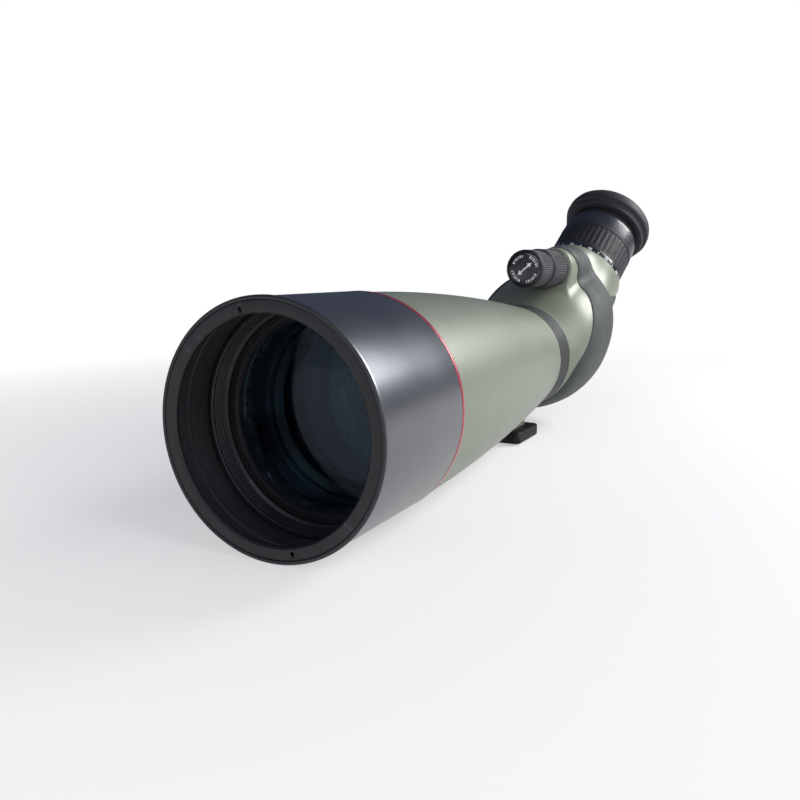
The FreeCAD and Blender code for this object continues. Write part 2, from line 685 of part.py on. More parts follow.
def helix_cutter(start, travel, side):
    """Row of overlapping round cuts along the helix that the drive pin follows."""
    steps = 40
    cutters = []
    for i in range(steps + 1):
        share = i / steps
        hole = cross_rod(PIN_R + 0.15, EYE_TUBE_R - 1, EYE_TUBE_R + 2.6, start + travel * share)
        turn = (0 if side > 0 else 180) - ZOOM_SWEEP * share
        hole.rotate(ORIGIN, Y_AXIS, turn)
        cutters.append(hole)
    return cutters


def zoom_cam():
    """Sleeve under the zoom grip with two helical slots, one for each lens cell."""
    body = ring(EYE_TUBE_R + GAP, EYE_TUBE_R + 4.3, ZOOM_START, ZOOM_END)
    body = body.cut(helix_cutter(FRONT_PIN, ZOOM_TRAVEL, 1))
    return on_eye_axis(body.cut(helix_cutter(REAR_PIN, -ZOOM_TRAVEL, -1)))


def zoom_grip():
    inner = EYE_TUBE_R + 4.32
    return on_eye_axis(turned((inner, ZOOM_START), (ZOOM_R - 0.6, ZOOM_START),
                              (ZOOM_R, ZOOM_START + 0.6), (ZOOM_R, ZOOM_END - 0.6),
                              (ZOOM_R - 0.6, ZOOM_END), (inner, ZOOM_END)))


def zoom_cell(station, side):
    """Lens cell sliding in the barrel, with the pin that reaches through its slot."""
    half = ZOOM_CELL_HALF
    outer = EYE_TUBE_BORE_R - GAP
    body = turned((outer - 2.4, station - half), (outer, station - half), (outer, station + half),
                  (outer - 4.0, station + half), (outer - 4.0, station + half - 1.2),
                  (outer - 2.4, station + half - 1.2))
    x0, x1 = sorted((side * (outer - 1.6), side * (EYE_TUBE_R + 2.3)))
    return on_eye_axis(body.fuse(cross_rod(PIN_R, x0, x1, station)).removeSplitter())


def zoom_lens(station, bulge):
    outer = EYE_TUBE_BORE_R - GAP - 2.4 - 0.02
    return on_eye_axis(lens(outer, station - 0.9, station + ZOOM_CELL_HALF - 1.5, bulge, bulge * 0.5))


def field_lens():
    return on_eye_axis(lens(EYE_TUBE_BORE_R - 0.04, 61.5, 65.0, 1.5, 1.0))


def field_stop():
    """Thread-in ring that holds the field lens and frames the view."""
    return on_eye_axis(ring(12.5, EYE_TUBE_BORE_R - 0.04, 66.2, 68.2))


def eye_lens():
    return on_eye_axis(lens(EYE_TUBE_BORE_R - 0.04, 116.0, 120.6, 1.6, 2.2))


def eye_retainer():
    return on_eye_axis(turned((15.6, 123.0), (EYE_TUBE_BORE_R - 0.04, 123.0),
                              (EYE_TUBE_BORE_R - 0.04, 125.6), (16.6, 125.6), (15.6, 124.6)))


def eyecup_base():
    """Fixed outer ring with the pocket that the eyecup's sleeve turns in."""
    floor = ZOOM_END + SEAM + 2.0
    pocket = 25.05
    shoulder = [(ZOOM_R - 0.3, CUP_BASE_END - 5), (ZOOM_R - 0.8, CUP_BASE_END - 2.2),
                (ZOOM_R - 2.0, CUP_BASE_END)]
    return on_eye_axis(turned((EYE_TUBE_R + GAP, ZOOM_END + SEAM), (ZOOM_R - 0.5, ZOOM_END + SEAM),
                              (ZOOM_R - 0.3, ZOOM_END + SEAM + 0.5), shoulder,
                              (pocket, CUP_BASE_END), (pocket, floor), (EYE_TUBE_R + GAP, floor)))


def eyecup_guide():
    """Ring that climbs with the eyecup but is kept from turning."""
    return on_eye_axis(ring(EYE_TUBE_R + GAP, 21.95, 105.8, 111.0))


def eyecup_sleeve():
    return on_eye_axis(ring(22.0, 25.0, 105.8, 127.0))


def eyecup_rubber():
    bottom = CUP_FLANGE_START
    outside = [(CUP_R - 1.2, bottom + 0.6), (CUP_R, bottom + 3.2), (CUP_R - 0.2, bottom + 8.5),
               (CUP_R - 2.2, CUP_TOP - 2.6), (CUP_R - 5.4, CUP_TOP)]
    inside = [(CUP_R - 7.0, CUP_TOP - 0.8), (23.0, CUP_TOP - 4.5), (21.6, CUP_TOP - 7.8)]
    return on_eye_axis(turned((25.02, bottom), (CUP_R - 2.4, bottom), outside, inside,
                              (21.0, 127.2), (25.02, 127.2)))


# ---- fasteners -----------------------------------------------------------------------------------
def cradle_screws():
    """Four screws that hold the prism cradle's front plate."""
    screws = []
    for x, z in BOSS_PLACES:
        head = rod(2.7, CRADLE_FRONT - 1.8, CRADLE_FRONT - 0.02, x, z)
        shank = rod(CRADLE_SCREW_R, CRADLE_FRONT - 0.5, CRADLE_SCREW_END, x, z)
        socket = rod(1.2, CRADLE_FRONT - 2.0, CRADLE_FRONT - 0.8, x, z)
        screws.append(head.fuse(shank).removeSplitter().cut(socket))
    return Part.makeCompound(screws)


MOUNT_PARTS = {
    "mount_collar": mount_collar,
    "thrust_ring": thrust_ring,
    "foot_plate": foot_plate,
    "foot_screws": foot_screws,
    "lock_bush": lock_bush,
    "lock_pad": lock_pad,
    "lock_screw": lock_screw,
    "lock_knob": lock_knob,
}

SCOPE_PARTS = {
    "sunshade_tube": sunshade_tube,
    "front_trim_ring": front_trim_ring,
    "sunshade_glide": sunshade_glide,
    "red_ring": red_ring,
    "objective_cell": objective_cell,
    "objective_retainer": objective_retainer,
    "lens_seal": lens_seal,
    "objective_front_lens": objective_front_lens,
    "lens_spacer": lens_spacer,
    "objective_rear_lens": objective_rear_lens,
    "objective_tube": objective_tube,
    "front_baffle": lambda: tube_baffle(112.0, 34.0),
    "rear_baffle": lambda: tube_baffle(168.0, 28.5),
    "grip_band": grip_band,
    "prism_housing": prism_housing,
    "rubber_armour": rubber_armour,
    "roof_prism": roof_prism,
    "prism_cradle": prism_cradle,
    "prism_clamp": prism_clamp,
    "cradle_screws": cradle_screws,
    "rod_ring": rod_ring,
    "guide_rods": guide_rods,
    "focus_carriage": focus_carriage,
    "focus_lens": focus_lens,
    "focus_bush": focus_bush,
    "coarse_shaft": coarse_shaft,
    "coarse_grip": coarse_grip,
    "fine_shaft": fine_shaft,
    "fine_grip": fine_grip,
    "fine_cap": fine_cap,
    "eyepiece_barrel": eyepiece_barrel,
    "scale_ring": scale_ring,
    "zoom_cam": zoom_cam,
    "zoom_grip": zoom_grip,
    "front_zoom_cell": lambda: zoom_cell(FRONT_PIN, 1),
    "front_zoom_lens": lambda: zoom_lens(FRONT_PIN, 2.0),
    "rear_zoom_cell": lambda: zoom_cell(REAR_PIN, -1),
    "rear_zoom_lens": lambda: zoom_lens(REAR_PIN, 1.7),
    "field_lens": field_lens,
    "field_stop": field_stop,
    "eye_lens": eye_lens,
    "eye_retainer": eye_retainer,
    "eyecup_base": eyecup_base,
    "eyecup_guide": eyecup_guide,
    "eyecup_sleeve": eyecup_sleeve,
    "eyecup_rubber": eyecup_rubber,
}


def main():
    os.makedirs("parts", exist_ok=True)
    for name, make in MOUNT_PARTS.items():
        save(name, on_mount(make()))
    for name, make in SCOPE_PARTS.items():
        save(name, on_scope(make()))


main()
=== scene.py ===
"""Looks of the angled spotting scope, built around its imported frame.

Lengths are millimetres until a mesh is made, where MM turns them into metres. Round parts are
drawn as (radius, station) outlines on an axis; the two castings and the rubber armour are smooth
blends of simple forms, meshed from a distance field.
"""
import json
import math

import bmesh
import bpy
import numpy as np
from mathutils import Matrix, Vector


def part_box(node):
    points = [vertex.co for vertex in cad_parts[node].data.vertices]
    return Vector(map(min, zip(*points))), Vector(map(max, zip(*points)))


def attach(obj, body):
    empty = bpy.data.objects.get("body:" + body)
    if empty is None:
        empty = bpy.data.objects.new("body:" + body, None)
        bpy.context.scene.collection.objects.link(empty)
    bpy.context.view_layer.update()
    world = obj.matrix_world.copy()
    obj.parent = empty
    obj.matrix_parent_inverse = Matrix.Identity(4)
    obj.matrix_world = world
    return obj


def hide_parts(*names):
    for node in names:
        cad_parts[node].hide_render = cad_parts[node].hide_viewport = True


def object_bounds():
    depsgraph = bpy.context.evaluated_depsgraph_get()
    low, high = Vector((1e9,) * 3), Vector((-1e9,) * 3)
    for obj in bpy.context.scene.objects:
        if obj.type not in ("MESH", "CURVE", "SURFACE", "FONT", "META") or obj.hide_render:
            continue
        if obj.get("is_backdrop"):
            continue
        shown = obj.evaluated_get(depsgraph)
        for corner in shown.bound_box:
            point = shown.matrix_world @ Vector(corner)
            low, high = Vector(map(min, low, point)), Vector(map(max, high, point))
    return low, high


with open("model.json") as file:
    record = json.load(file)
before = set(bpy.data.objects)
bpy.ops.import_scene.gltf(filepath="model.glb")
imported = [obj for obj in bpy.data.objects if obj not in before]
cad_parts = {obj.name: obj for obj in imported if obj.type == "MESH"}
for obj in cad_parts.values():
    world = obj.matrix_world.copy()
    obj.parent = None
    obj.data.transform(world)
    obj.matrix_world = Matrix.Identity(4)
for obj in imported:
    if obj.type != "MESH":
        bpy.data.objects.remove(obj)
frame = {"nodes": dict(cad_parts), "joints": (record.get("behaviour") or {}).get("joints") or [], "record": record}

CAD_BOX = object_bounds()
MM = 0.001
NODES = frame["nodes"]
JOINTS = {joint["name"]: joint for joint in frame["joints"]}


# ---- axes of the scope
class Axis:
    """A line with a forward direction, and the side and up directions round it."""

    def __init__(self, origin, forward, side):
        self.origin = Vector(origin)
        self.forward = Vector(forward).normalized()
        self.side = side
        self.up = side.cross(self.forward).normalized()

    def start_at(self, station):
        """Moves the origin so that what was at this station becomes station 0."""
        self.origin = self.origin + self.forward * station * MM

    def local(self, points):
        """World points in metres to local x (side), y (forward), z (up) in millimetres."""
        basis = np.array([self.side, self.forward, self.up])
        return (np.asarray(points) - np.array(self.origin)) @ basis.T / MM

    def world(self, points):
        basis = np.array([self.side, self.forward, self.up])
        return np.asarray(points) @ basis * MM + np.array(self.origin)


def joint_axis(joint, side):
    return Axis(JOINTS[joint]["pos_m"], JOINTS[joint]["axis"], side)


def node_points(node):
    mesh = NODES[node].data
    points = np.empty(len(mesh.vertices) * 3)
    mesh.vertices.foreach_get("co", points)
    return points.reshape(-1, 3)


class Extent:
    """Stations and radii that a frame node covers on an axis."""

    def __init__(self, node, axis):
        local = axis.local(node_points(node))
        radii = np.hypot(local[:, 0], local[:, 2])
        self.start = float(local[:, 1].min())
        self.end = float(local[:, 1].max())
        self.inner = float(radii.min())
        self.outer = float(radii.max())


EYE_FORWARD = Vector(JOINTS["zoom_turn"]["axis"])
LEAN = math.atan2(EYE_FORWARD.x, EYE_FORWARD.z)
SIDE = Vector((math.cos(LEAN), 0, -math.sin(LEAN)))

TUBE = joint_axis("scope_turn", SIDE)
TUBE.start_at(Extent("sunshade_tube", TUBE).start)
EYE = joint_axis("zoom_turn", SIDE)
KNOB = joint_axis("coarse_focus_turn", SIDE)
KNOB.start_at(Extent("fine_grip", KNOB).start)
MOUNT = joint_axis("scope_turn", Vector((1, 0, 0)))
MOUNT.start_at(Extent("sunshade_tube", MOUNT).start)
LOCK = joint_axis("lock_knob_turn", Vector((0, 1, 0)))
FOOT_AXIS = Axis((0, 0, 0), (0, 0, 1), Vector((1, 0, 0)))

KNOB_HEIGHT = float(TUBE.local([KNOB.origin])[0][2])
EYE_Y, EYE_Z = TUBE.local([EYE.origin])[0][1:]
EYE_STATION = float(EYE_Y - EYE_Z)
EYE.start_at(-float(EYE_Z) * math.sqrt(2))

CAMERA_PLACE = Vector((0.1784, -0.4852, 0.1108))
CAMERA_AZIMUTH = math.radians(27.54)
CAMERA_ELEVATION = math.radians(9.65)
CAMERA_LENS = 36.9


# ---- meshes
def finish_piece(name, vertices, faces, body, material, stands_for=(), sharp=35):
    mesh = bpy.data.meshes.new(name)
    mesh.from_pydata([tuple(v) for v in vertices], [], faces)
    mesh.validate()
    clean = bmesh.new()
    clean.from_mesh(mesh)
    bmesh.ops.remove_doubles(clean, verts=clean.verts, dist=1e-7)
    bmesh.ops.dissolve_degenerate(clean, edges=clean.edges, dist=1e-8)
    bmesh.ops.recalc_face_normals(clean, faces=clean.faces)
    clean.to_mesh(mesh)
    clean.free()
    mesh.shade_smooth()
    mesh.set_sharp_from_angle(angle=math.radians(sharp))
    piece = bpy.data.objects.new(name, mesh)
    bpy.context.scene.collection.objects.link(piece)
    piece.data.materials.append(material)
    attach(piece, body)
    if stands_for:
        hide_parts(*stands_for)
    return piece


def fillet(outline, radius, steps=4):
    """Rounds the corners of a closed outline. An outline point is (radius, station)."""
    points = [np.array(p[:2], float) for p in outline]
    rounded = []
    for i, point in enumerate(points):
        before = points[i - 1] - point
        after = points[(i + 1) % len(points)] - point
        length_before = np.linalg.norm(before)
        length_after = np.linalg.norm(after)
        cosine = np.clip(before @ after / (length_before * length_after), -1, 1)
        opening = math.acos(cosine)
        if opening > math.radians(158) or point[0] < 1e-6:
            rounded.append(tuple(point))
            continue
        reach = min(radius / math.tan(opening / 2), 0.45 * length_before, 0.45 * length_after)
        first = point + before / length_before * reach
        last = point + after / length_after * reach
        for step in range(steps + 1):
            share = step / steps
            curve = (1 - share) ** 2 * first + 2 * share * (1 - share) * point + share ** 2 * last
            rounded.append(tuple(curve))
    return rounded


def ring_outline(inner, outer, start, end):
    return [(inner, start), (outer, start), (outer, end), (inner, end)]


def lathe_mesh(axis, outline, segments, ripple=None):
    """Vertices and faces of a closed outline turned round an axis."""
    angles = np.linspace(0, 2 * math.pi, segments, endpoint=False)
    outline = np.array(outline, float)
    radius = np.repeat(outline[:, 0][None, :], segments, 0)
    station = np.repeat(outline[:, 1][None, :], segments, 0)
    turn = np.repeat(angles[:, None], len(outline), 1)
    if ripple:
        radius = radius - ripple(turn, radius, station)
    local = np.stack([radius * np.cos(turn), station, radius * np.sin(turn)], -1)
    vertices = axis.world(local.reshape(-1, 3))
    count = len(outline)
    faces = []
    for i in range(segments):
        j = (i + 1) % segments
        for k in range(count):
            m = (k + 1) % count
            if outline[k][0] < 1e-6 and outline[m][0] < 1e-6:
                continue
            faces.append((i * count + k, i * count + m, j * count + m, j * count + k))
    return vertices, faces


def lathe(name, axis, outline, body, material, stands_for=(), round_to=0.25,
          segments=180, ripple=None, sharp=35):
    points = fillet(outline, round_to) if round_to else [tuple(p[:2]) for p in outline]
    vertices, faces = lathe_mesh(axis, points, segments, ripple)
    return finish_piece(name, vertices, faces, body, material, stands_for, sharp)


def ribs(count, depth, start, end, min_radius, sharpness=2.0, edge=1.2):
    """Ripple for a grip: ribs along the axis between two stations, fading out at their ends."""
    def ripple(turn, radius, station):
        wave = (0.5 + 0.5 * np.cos(turn * count)) ** sharpness
        fade = np.clip((station - start) / edge, 0, 1) * np.clip((end - station) / edge, 0, 1)
        return np.where(radius > min_radius, depth * wave * fade, 0.0)
    return ripple


def grow_net(field, low, high, cell):
    """Quad mesh of the surface where field is 0, by surface nets, then pulled onto the surface."""
    counts = [int(math.ceil((high[i] - low[i]) / cell)) + 1 for i in range(3)]
    ticks = [low[i] + cell * np.arange(counts[i]) for i in range(3)]
    grid = np.stack(np.meshgrid(*ticks, indexing="ij"), -1)
    values = field(grid.reshape(-1, 3)).reshape(counts)
    for side in (0, -1):
        values[side] = np.maximum(values[side], 0.1)
        values[:, side] = np.maximum(values[:, side], 0.1)
        values[:, :, side] = np.maximum(values[:, :, side], 0.1)
    inside = values < 0
    corners = [(a, b, c) for a in (0, 1) for b in (0, 1) for c in (0, 1)]
    span = [n - 1 for n in counts]

    def corner(array, offset):
        return array[offset[0]:offset[0] + span[0], offset[1]:offset[1] + span[1],
                     offset[2]:offset[2] + span[2]]

    filled = sum(corner(inside, o).astype(int) for o in corners)
    mixed = (filled > 0) & (filled < 8)
    total = np.zeros(list(span) + [3])
    weight = np.zeros(span)
    for a in range(8):
        for b in range(a + 1, 8):
            if sum(x != y for x, y in zip(corners[a], corners[b])) != 1:
                continue
            va = corner(values, corners[a])
            vb = corner(values, corners[b])
            crosses = (va < 0) != (vb < 0)
            share = np.where(crosses, va / np.where(crosses, va - vb, 1), 0)[..., None]
            start = np.array(corners[a], float)
            step = np.array(corners[b], float) - start
            total += np.where(crosses[..., None], start + share * step, 0)
            weight += crosses
    place = np.argwhere(mixed)
    vertices = (place + total[mixed] / weight[mixed][:, None]) * cell + np.array(low)
    number = -np.ones(span, int)
    number[mixed] = np.arange(len(place))
    faces = []
    for axis in range(3):
        u = (axis + 1) % 3
        v = (axis + 2) % 3
        ahead = np.eye(3, dtype=int)[axis]
        here = inside[:counts[0] - ahead[0], :counts[1] - ahead[1], :counts[2] - ahead[2]]
        there = inside[ahead[0]:, ahead[1]:, ahead[2]:]
        index = np.argwhere(here != there)
        index = index[(index[:, u] > 0) & (index[:, v] > 0)]
        quads = []
        for du, dv in ((0, 0), (1, 0), (1, 1), (0, 1)):
            cells = index.copy()
            cells[:, u] -= du
            cells[:, v] -= dv
            quads.append(number[tuple(cells.T)])
        faces.extend(tuple(int(n) for n in quad) for quad in np.stack(quads, 1))
    return pull_to_surface(field, vertices, cell), faces


def pull_to_surface(field, vertices, cell, rounds=2):
    step = 0.02
    for _ in range(rounds):
        value = field(vertices)
        slope = np.empty_like(vertices)
        for i in range(3):
            shift = np.zeros(3)
            shift[i] = step
            slope[:, i] = (field(vertices + shift) - value) / step
        size = np.maximum((slope ** 2).sum(1), 0.05)
        move = -(value / size)[:, None] * slope
        length = np.maximum(np.linalg.norm(move, axis=1), 1e-9)
        move *= np.minimum(1, 0.5 * cell / length)[:, None]
        vertices = vertices + move
    return vertices


# ---- distance fields
def join(a, b, blend):
    """Smooth union of two fields."""
    h = np.clip(0.5 + 0.5 * (b - a) / blend, 0, 1)
    return b + (a - b) * h - blend * h * (1 - h)


def both(a, b, blend):
    """Smooth intersection of two fields."""
    return -join(-a, -b, blend)


def bar_y(p, radius, start, end, x=0.0, z=0.0):
    across = np.hypot(p[:, 0] - x, p[:, 2] - z) - radius
    return np.maximum(across, np.maximum(start - p[:, 1], p[:, 1] - end))


def smooth_table(knots, values, at):
    """Smooth curve through the knots, flat beyond them."""
    knots = np.asarray(knots, float)
    values = np.asarray(values, float)
    slopes = np.gradient(values, knots)
    at = np.clip(at, knots[0], knots[-1])
    i = np.clip(np.searchsorted(knots, at) - 1, 0, len(knots) - 2)
    width = knots[i + 1] - knots[i]
    t = (at - knots[i]) / width
    return ((2 * t ** 3 - 3 * t ** 2 + 1) * values[i] + (t ** 3 - 2 * t ** 2 + t) * width * slopes[i]
            + (-2 * t ** 3 + 3 * t ** 2) * values[i + 1] + (t ** 3 - t ** 2) * width * slopes[i + 1])


# ---- materials
class Look:
    """A node material: a Principled shader with small helpers for colour, roughness and bump."""

    def __init__(self, name, color, roughness, metallic=0.0, coat=0.0, sheen=0.0, shine=0.5):
        self.material = bpy.data.materials.new(name)
        self.material.use_nodes = True
        self.tree = self.material.node_tree
        self.shader = self.tree.nodes["Principled BSDF"]
        self.coords = self.node("ShaderNodeTexCoord").outputs["Object"]
        self.color = color
        self.shader.inputs["Base Color"].default_value = (*color, 1)
        self.shader.inputs["Roughness"].default_value = roughness
        self.shader.inputs["Metallic"].default_value = metallic
        self.shader.inputs["Coat Weight"].default_value = coat
        self.shader.inputs["Coat Roughness"].default_value = 0.25
        self.shader.inputs["Sheen Weight"].default_value = sheen
        self.shader.inputs["Specular IOR Level"].default_value = shine
        self.last_bump = None

    def node(self, kind, **values):
        made = self.tree.nodes.new(kind)
        for key, value in values.items():
            setattr(made, key, value)
        return made

    def link(self, out, into):
        self.tree.links.new(out, into)

    def noise(self, scale, detail=4.0, rough=0.55, stretch=None):
        """Noise whose scale is features per metre."""
        made = self.node("ShaderNodeTexNoise")
        made.inputs["Scale"].default_value = scale
        made.inputs["Detail"].default_value = detail
        made.inputs["Roughness"].default_value = rough
        self.link(self.stretched(stretch), made.inputs["Vector"])
        return made.outputs["Fac"]

    def cells(self, scale, feature="F1"):
        made = self.node("ShaderNodeTexVoronoi", feature=feature)
        made.inputs["Scale"].default_value = scale
        self.link(self.coords, made.inputs["Vector"])
        return made.outputs["Distance"]

    def stretched(self, stretch):
        if stretch is None:
            return self.coords
        mapping = self.node("ShaderNodeMapping")
        mapping.inputs["Scale"].default_value = stretch
        self.link(self.coords, mapping.inputs["Vector"])
        return mapping.outputs["Vector"]

    def ramp(self, value, low, high, from_value=0.0, to_value=1.0):
        made = self.node("ShaderNodeMapRange")
        made.inputs["From Min"].default_value = low
        made.inputs["From Max"].default_value = high
        made.inputs["To Min"].default_value = from_value
        made.inputs["To Max"].default_value = to_value
        self.link(value, made.inputs["Value"])
        return made.outputs["Result"]

    def tint(self, mask, color, strength=1.0):
        """Mixes another colour over the base where mask is high."""
        mix = self.node("ShaderNodeMix", data_type="RGBA")
        source = self.shader.inputs["Base Color"]
        if source.is_linked:
            self.link(source.links[0].from_socket, mix.inputs["A"])
        else:
            mix.inputs["A"].default_value = source.default_value
        mix.inputs["B"].default_value = (*color, 1)
        self.link(self.ramp(mask, 0, 1, 0, strength), mix.inputs["Factor"])
        self.link(mix.outputs["Result"], source)
        return self

    def rough(self, value, low, high):
        self.link(self.ramp(value, 0.3, 0.7, low, high), self.shader.inputs["Roughness"])
        return self

    def bump(self, height, distance, strength=1.0):
        """Adds a bump; distance is the height in metres."""
        made = self.node("ShaderNodeBump")
        made.inputs["Distance"].default_value = distance
        made.inputs["Strength"].default_value = strength
        self.link(height, made.inputs["Height"])
        if self.last_bump is not None:
            self.link(self.last_bump, made.inputs["Normal"])
        self.last_bump = made.outputs["Normal"]
        self.link(self.last_bump, self.shader.inputs["Normal"])
        return self

    def mix_out(self, factor, under, over):
        """Sends a mix of two shaders to the material's output."""
        mix = self.node("ShaderNodeMixShader")
        self.link(factor, mix.inputs["Fac"])
        self.link(under, mix.inputs[1])
        self.link(over, mix.inputs[2])
        self.link(mix.outputs["Shader"], self.tree.nodes["Material Output"].inputs["Surface"])

    def edges(self, color, strength=0.4, low=0.53, high=0.60):
        """Wear on convex edges."""
        geometry = self.node("ShaderNodeNewGeometry")
        worn = self.ramp(geometry.outputs["Pointiness"], low, high)
        patchy = self.node("ShaderNodeMath", operation="MULTIPLY")
        self.link(worn, patchy.inputs[0])
        self.link(self.ramp(self.noise(260), 0.42, 0.62), patchy.inputs[1])
        return self.tint(patchy.outputs["Value"], color, strength)


def green_enamel():
    look = Look("green_enamel", (0.170, 0.188, 0.145), 0.46, metallic=0.20, coat=0.10)
    look.tint(look.ramp(look.noise(9, 3), 0.35, 0.65), (0.186, 0.207, 0.160), 0.6)
    look.tint(look.ramp(look.noise(4200, 2), 0.60, 0.72), (0.30, 0.32, 0.28), 0.30)
    look.rough(look.noise(60, 5), 0.43, 0.50)
    look.bump(look.noise(1500, 3), 0.00003, 0.4)
    look.bump(look.noise(5200, 2), 0.000012, 0.5)
    return look.edges((0.36, 0.38, 0.34), 0.25).material


def hood_anodised():
    look = Look("hood_anodised", (0.120, 0.126, 0.140), 0.31, metallic=0.85)
    look.tint(look.ramp(look.noise(6, 2), 0.35, 0.7), (0.128, 0.133, 0.146), 0.5)
    look.tint(look.ramp(look.noise(5200, 1), 0.58, 0.70), (0.22, 0.225, 0.24), 0.35)
    look.rough(look.noise(40, 3), 0.29, 0.34)
    look.bump(look.noise(4200, 2), 0.000022, 0.5)
    return look.edges((0.30, 0.30, 0.31), 0.4).material


def black_anodised(name="black_anodised", level=0.018, rough=0.42, shine=0.5):
    look = Look(name, (level, level, level * 1.15), rough, metallic=0.35, shine=shine)
    look.tint(look.ramp(look.noise(40, 4), 0.4, 0.7), (level * 1.8, level * 1.8, level * 2.0), 0.5)
    look.rough(look.noise(120, 5), rough - 0.06, rough + 0.08)
    look.bump(look.noise(3800, 2), 0.000015, 0.5)
    return look.edges((0.10, 0.10, 0.11), 0.5).material


def matt_black():
    look = Look("baffle_black", (0.016, 0.017, 0.020), 0.62)
    look.tint(look.ramp(look.noise(30, 3), 0.4, 0.7), (0.022, 0.023, 0.026), 0.5)
    look.rough(look.noise(60, 3), 0.56, 0.66)
    return look.bump(look.noise(900, 2), 0.00001, 0.2).material


def red_gloss():
    look = Look("red_gloss", (0.36, 0.012, 0.035), 0.30, metallic=0.35, coat=0.5)
    look.tint(look.ramp(look.noise(200, 3), 0.4, 0.7), (0.28, 0.008, 0.02), 0.5)
    look.rough(look.noise(300, 4), 0.22, 0.36)
    return look.bump(look.noise(3000, 2), 0.00001, 0.4).material


def grained_rubber(name, color, lighter, grain, rough):
    """Rubber with a fine leather-like grain, painted shade in the grain's hollows, a little dust and shine on its
    high spots.
    """
    look = Look(name, color, rough, sheen=0.02, shine=0.26)
    look.tint(look.ramp(look.noise(22, 4), 0.35, 0.7), lighter, 0.6)
    # painted shade: the grain's hollows, where the bump below is lowest, are darkened
    look.tint(look.ramp(look.cells(grain), 0.35, 0.75), tuple(c * 0.55 for c in color), 0.5)
    look.rough(look.noise(70, 5), rough - 0.08, rough + 0.10)
    look.bump(look.ramp(look.cells(grain), 0.0, 0.7, 1.0, 0.0), 0.00010, 0.55)
    look.bump(look.noise(grain * 3.1, 3), 0.00003, 0.5)
    return look.edges(tuple(c * 1.6 for c in lighter), 0.3).material


def gloss_black():
    look = Look("gloss_black", (0.012, 0.012, 0.016), 0.16, coat=0.6)
    look.tint(look.ramp(look.noise(60, 4), 0.45, 0.75), (0.022, 0.022, 0.028), 0.5)
    look.rough(look.noise(250, 5), 0.12, 0.24)
    return look.bump(look.noise(2500, 2), 0.000006, 0.4).material


def satin_plastic(name, color, rough=0.45):
    look = Look(name, color, rough)
    look.tint(look.ramp(look.noise(30, 4), 0.4, 0.7), tuple(c * 1.35 for c in color), 0.5)
    look.rough(look.noise(140, 5), rough - 0.07, rough + 0.09)
    look.bump(look.noise(2600, 3), 0.00003, 0.5)
    return look.edges(tuple(min(1, c * 2.4 + 0.02) for c in color), 0.35).material


def bare_metal(name, color, rough, grain=(1, 1, 1)):
    look = Look(name, color, rough, metallic=1.0)
    look.tint(look.ramp(look.noise(500, 4, stretch=grain), 0.4, 0.7), tuple(c * 0.8 for c in color), 0.6)
    look.rough(look.noise(900, 4, stretch=grain), rough - 0.08, rough + 0.12)
    return look.bump(look.noise(1800, 3, stretch=grain), 0.00001, 0.5).material


def white_ink():
    look = Look("white_ink", (0.74, 0.75, 0.76), 0.5)
    look.tint(look.ramp(look.noise(1800, 3), 0.55, 0.75), (0.50, 0.51, 0.53), 0.6)
    return look.bump(look.noise(4000, 2), 0.00001, 0.4).material


def clear_glass(name, tint, coating, coating_edge, shine):
    """Glass drawn as a tinted see-through layer under a coloured anti-reflection coating."""
    look = Look(name, tint, 0.04)
    look.tree.nodes.remove(look.shader)
    through = look.node("ShaderNodeBsdfTransparent")
    through.inputs["Color"].default_value = (*tint, 1)
    facing = look.node("ShaderNodeLayerWeight")
    facing.inputs["Blend"].default_value = 0.45
    hue = look.node("ShaderNodeMix", data_type="RGBA")
    hue.inputs["A"].default_value = (*coating, 1)
    hue.inputs["B"].default_value = (*coating_edge, 1)
    look.link(facing.outputs["Facing"], hue.inputs["Factor"])
    gloss = look.node("ShaderNodeBsdfGlossy")
    look.link(hue.outputs["Result"], gloss.inputs["Color"])
    smears = look.noise(40, 5, rough=0.5)
    look.link(look.ramp(smears, 0, 1, 0.03, 0.09), gloss.inputs["Roughness"])
    fresnel = look.node("ShaderNodeFresnel")
    fresnel.inputs["IOR"].default_value = 1.5
    strength = look.node("ShaderNodeMath", operation="MULTIPLY")
    strength.inputs[1].default_value = shine
    look.link(fresnel.outputs["Fac"], strength.inputs[0])
    look.mix_out(strength.outputs["Value"], through.outputs["BSDF"], gloss.outputs["BSDF"])
    return look.material


GREEN = green_enamel()
HOOD = hood_anodised()
BLACK = black_anodised()
DEEP_BLACK = matt_black()
FOOT_BLACK = black_anodised("foot_black", 0.005, 0.55, shine=0.18)
RED = red_gloss()
ARMOUR = grained_rubber("armour_rubber", (0.050, 0.055, 0.055), (0.062, 0.067, 0.067), 1300, 0.62)
BAND = grained_rubber("band_rubber", (0.024, 0.026, 0.028), (0.031, 0.033, 0.035), 1500, 0.58)
GRIP = grained_rubber("grip_rubber", (0.014, 0.015, 0.019), (0.021, 0.022, 0.027), 1700, 0.52)
CUP = grained_rubber("cup_rubber", (0.021, 0.022, 0.028), (0.030, 0.031, 0.038), 1500, 0.58)
GLOSS = gloss_black()
PLASTIC = satin_plastic("dark_plastic", (0.030, 0.031, 0.036))
SMOOTH = satin_plastic("cup_base_plastic", (0.020, 0.021, 0.028), 0.34)
PALE = satin_plastic("pale_plastic", (0.42, 0.44, 0.40))
STEEL = bare_metal("bright_steel", (0.62, 0.62, 0.63), 0.28)
BRASS = bare_metal("turned_brass", (0.70, 0.50, 0.22), 0.30)
INK = white_ink()
COATED = clear_glass("coated_glass", (0.86, 0.92, 0.94), (0.45, 0.50, 0.66), (0.42, 0.60, 0.55), 0.36)
EYE_GLASS = clear_glass("eye_glass_coated", (0.20, 0.24, 0.28), (0.50, 0.40, 0.95), (0.35, 0.80, 0.65),
                        1.6)
CLEAR = clear_glass("clear_glass", (0.86, 0.90, 0.92), (0.75, 0.85, 1.0), (0.8, 0.9, 0.9), 1.0)

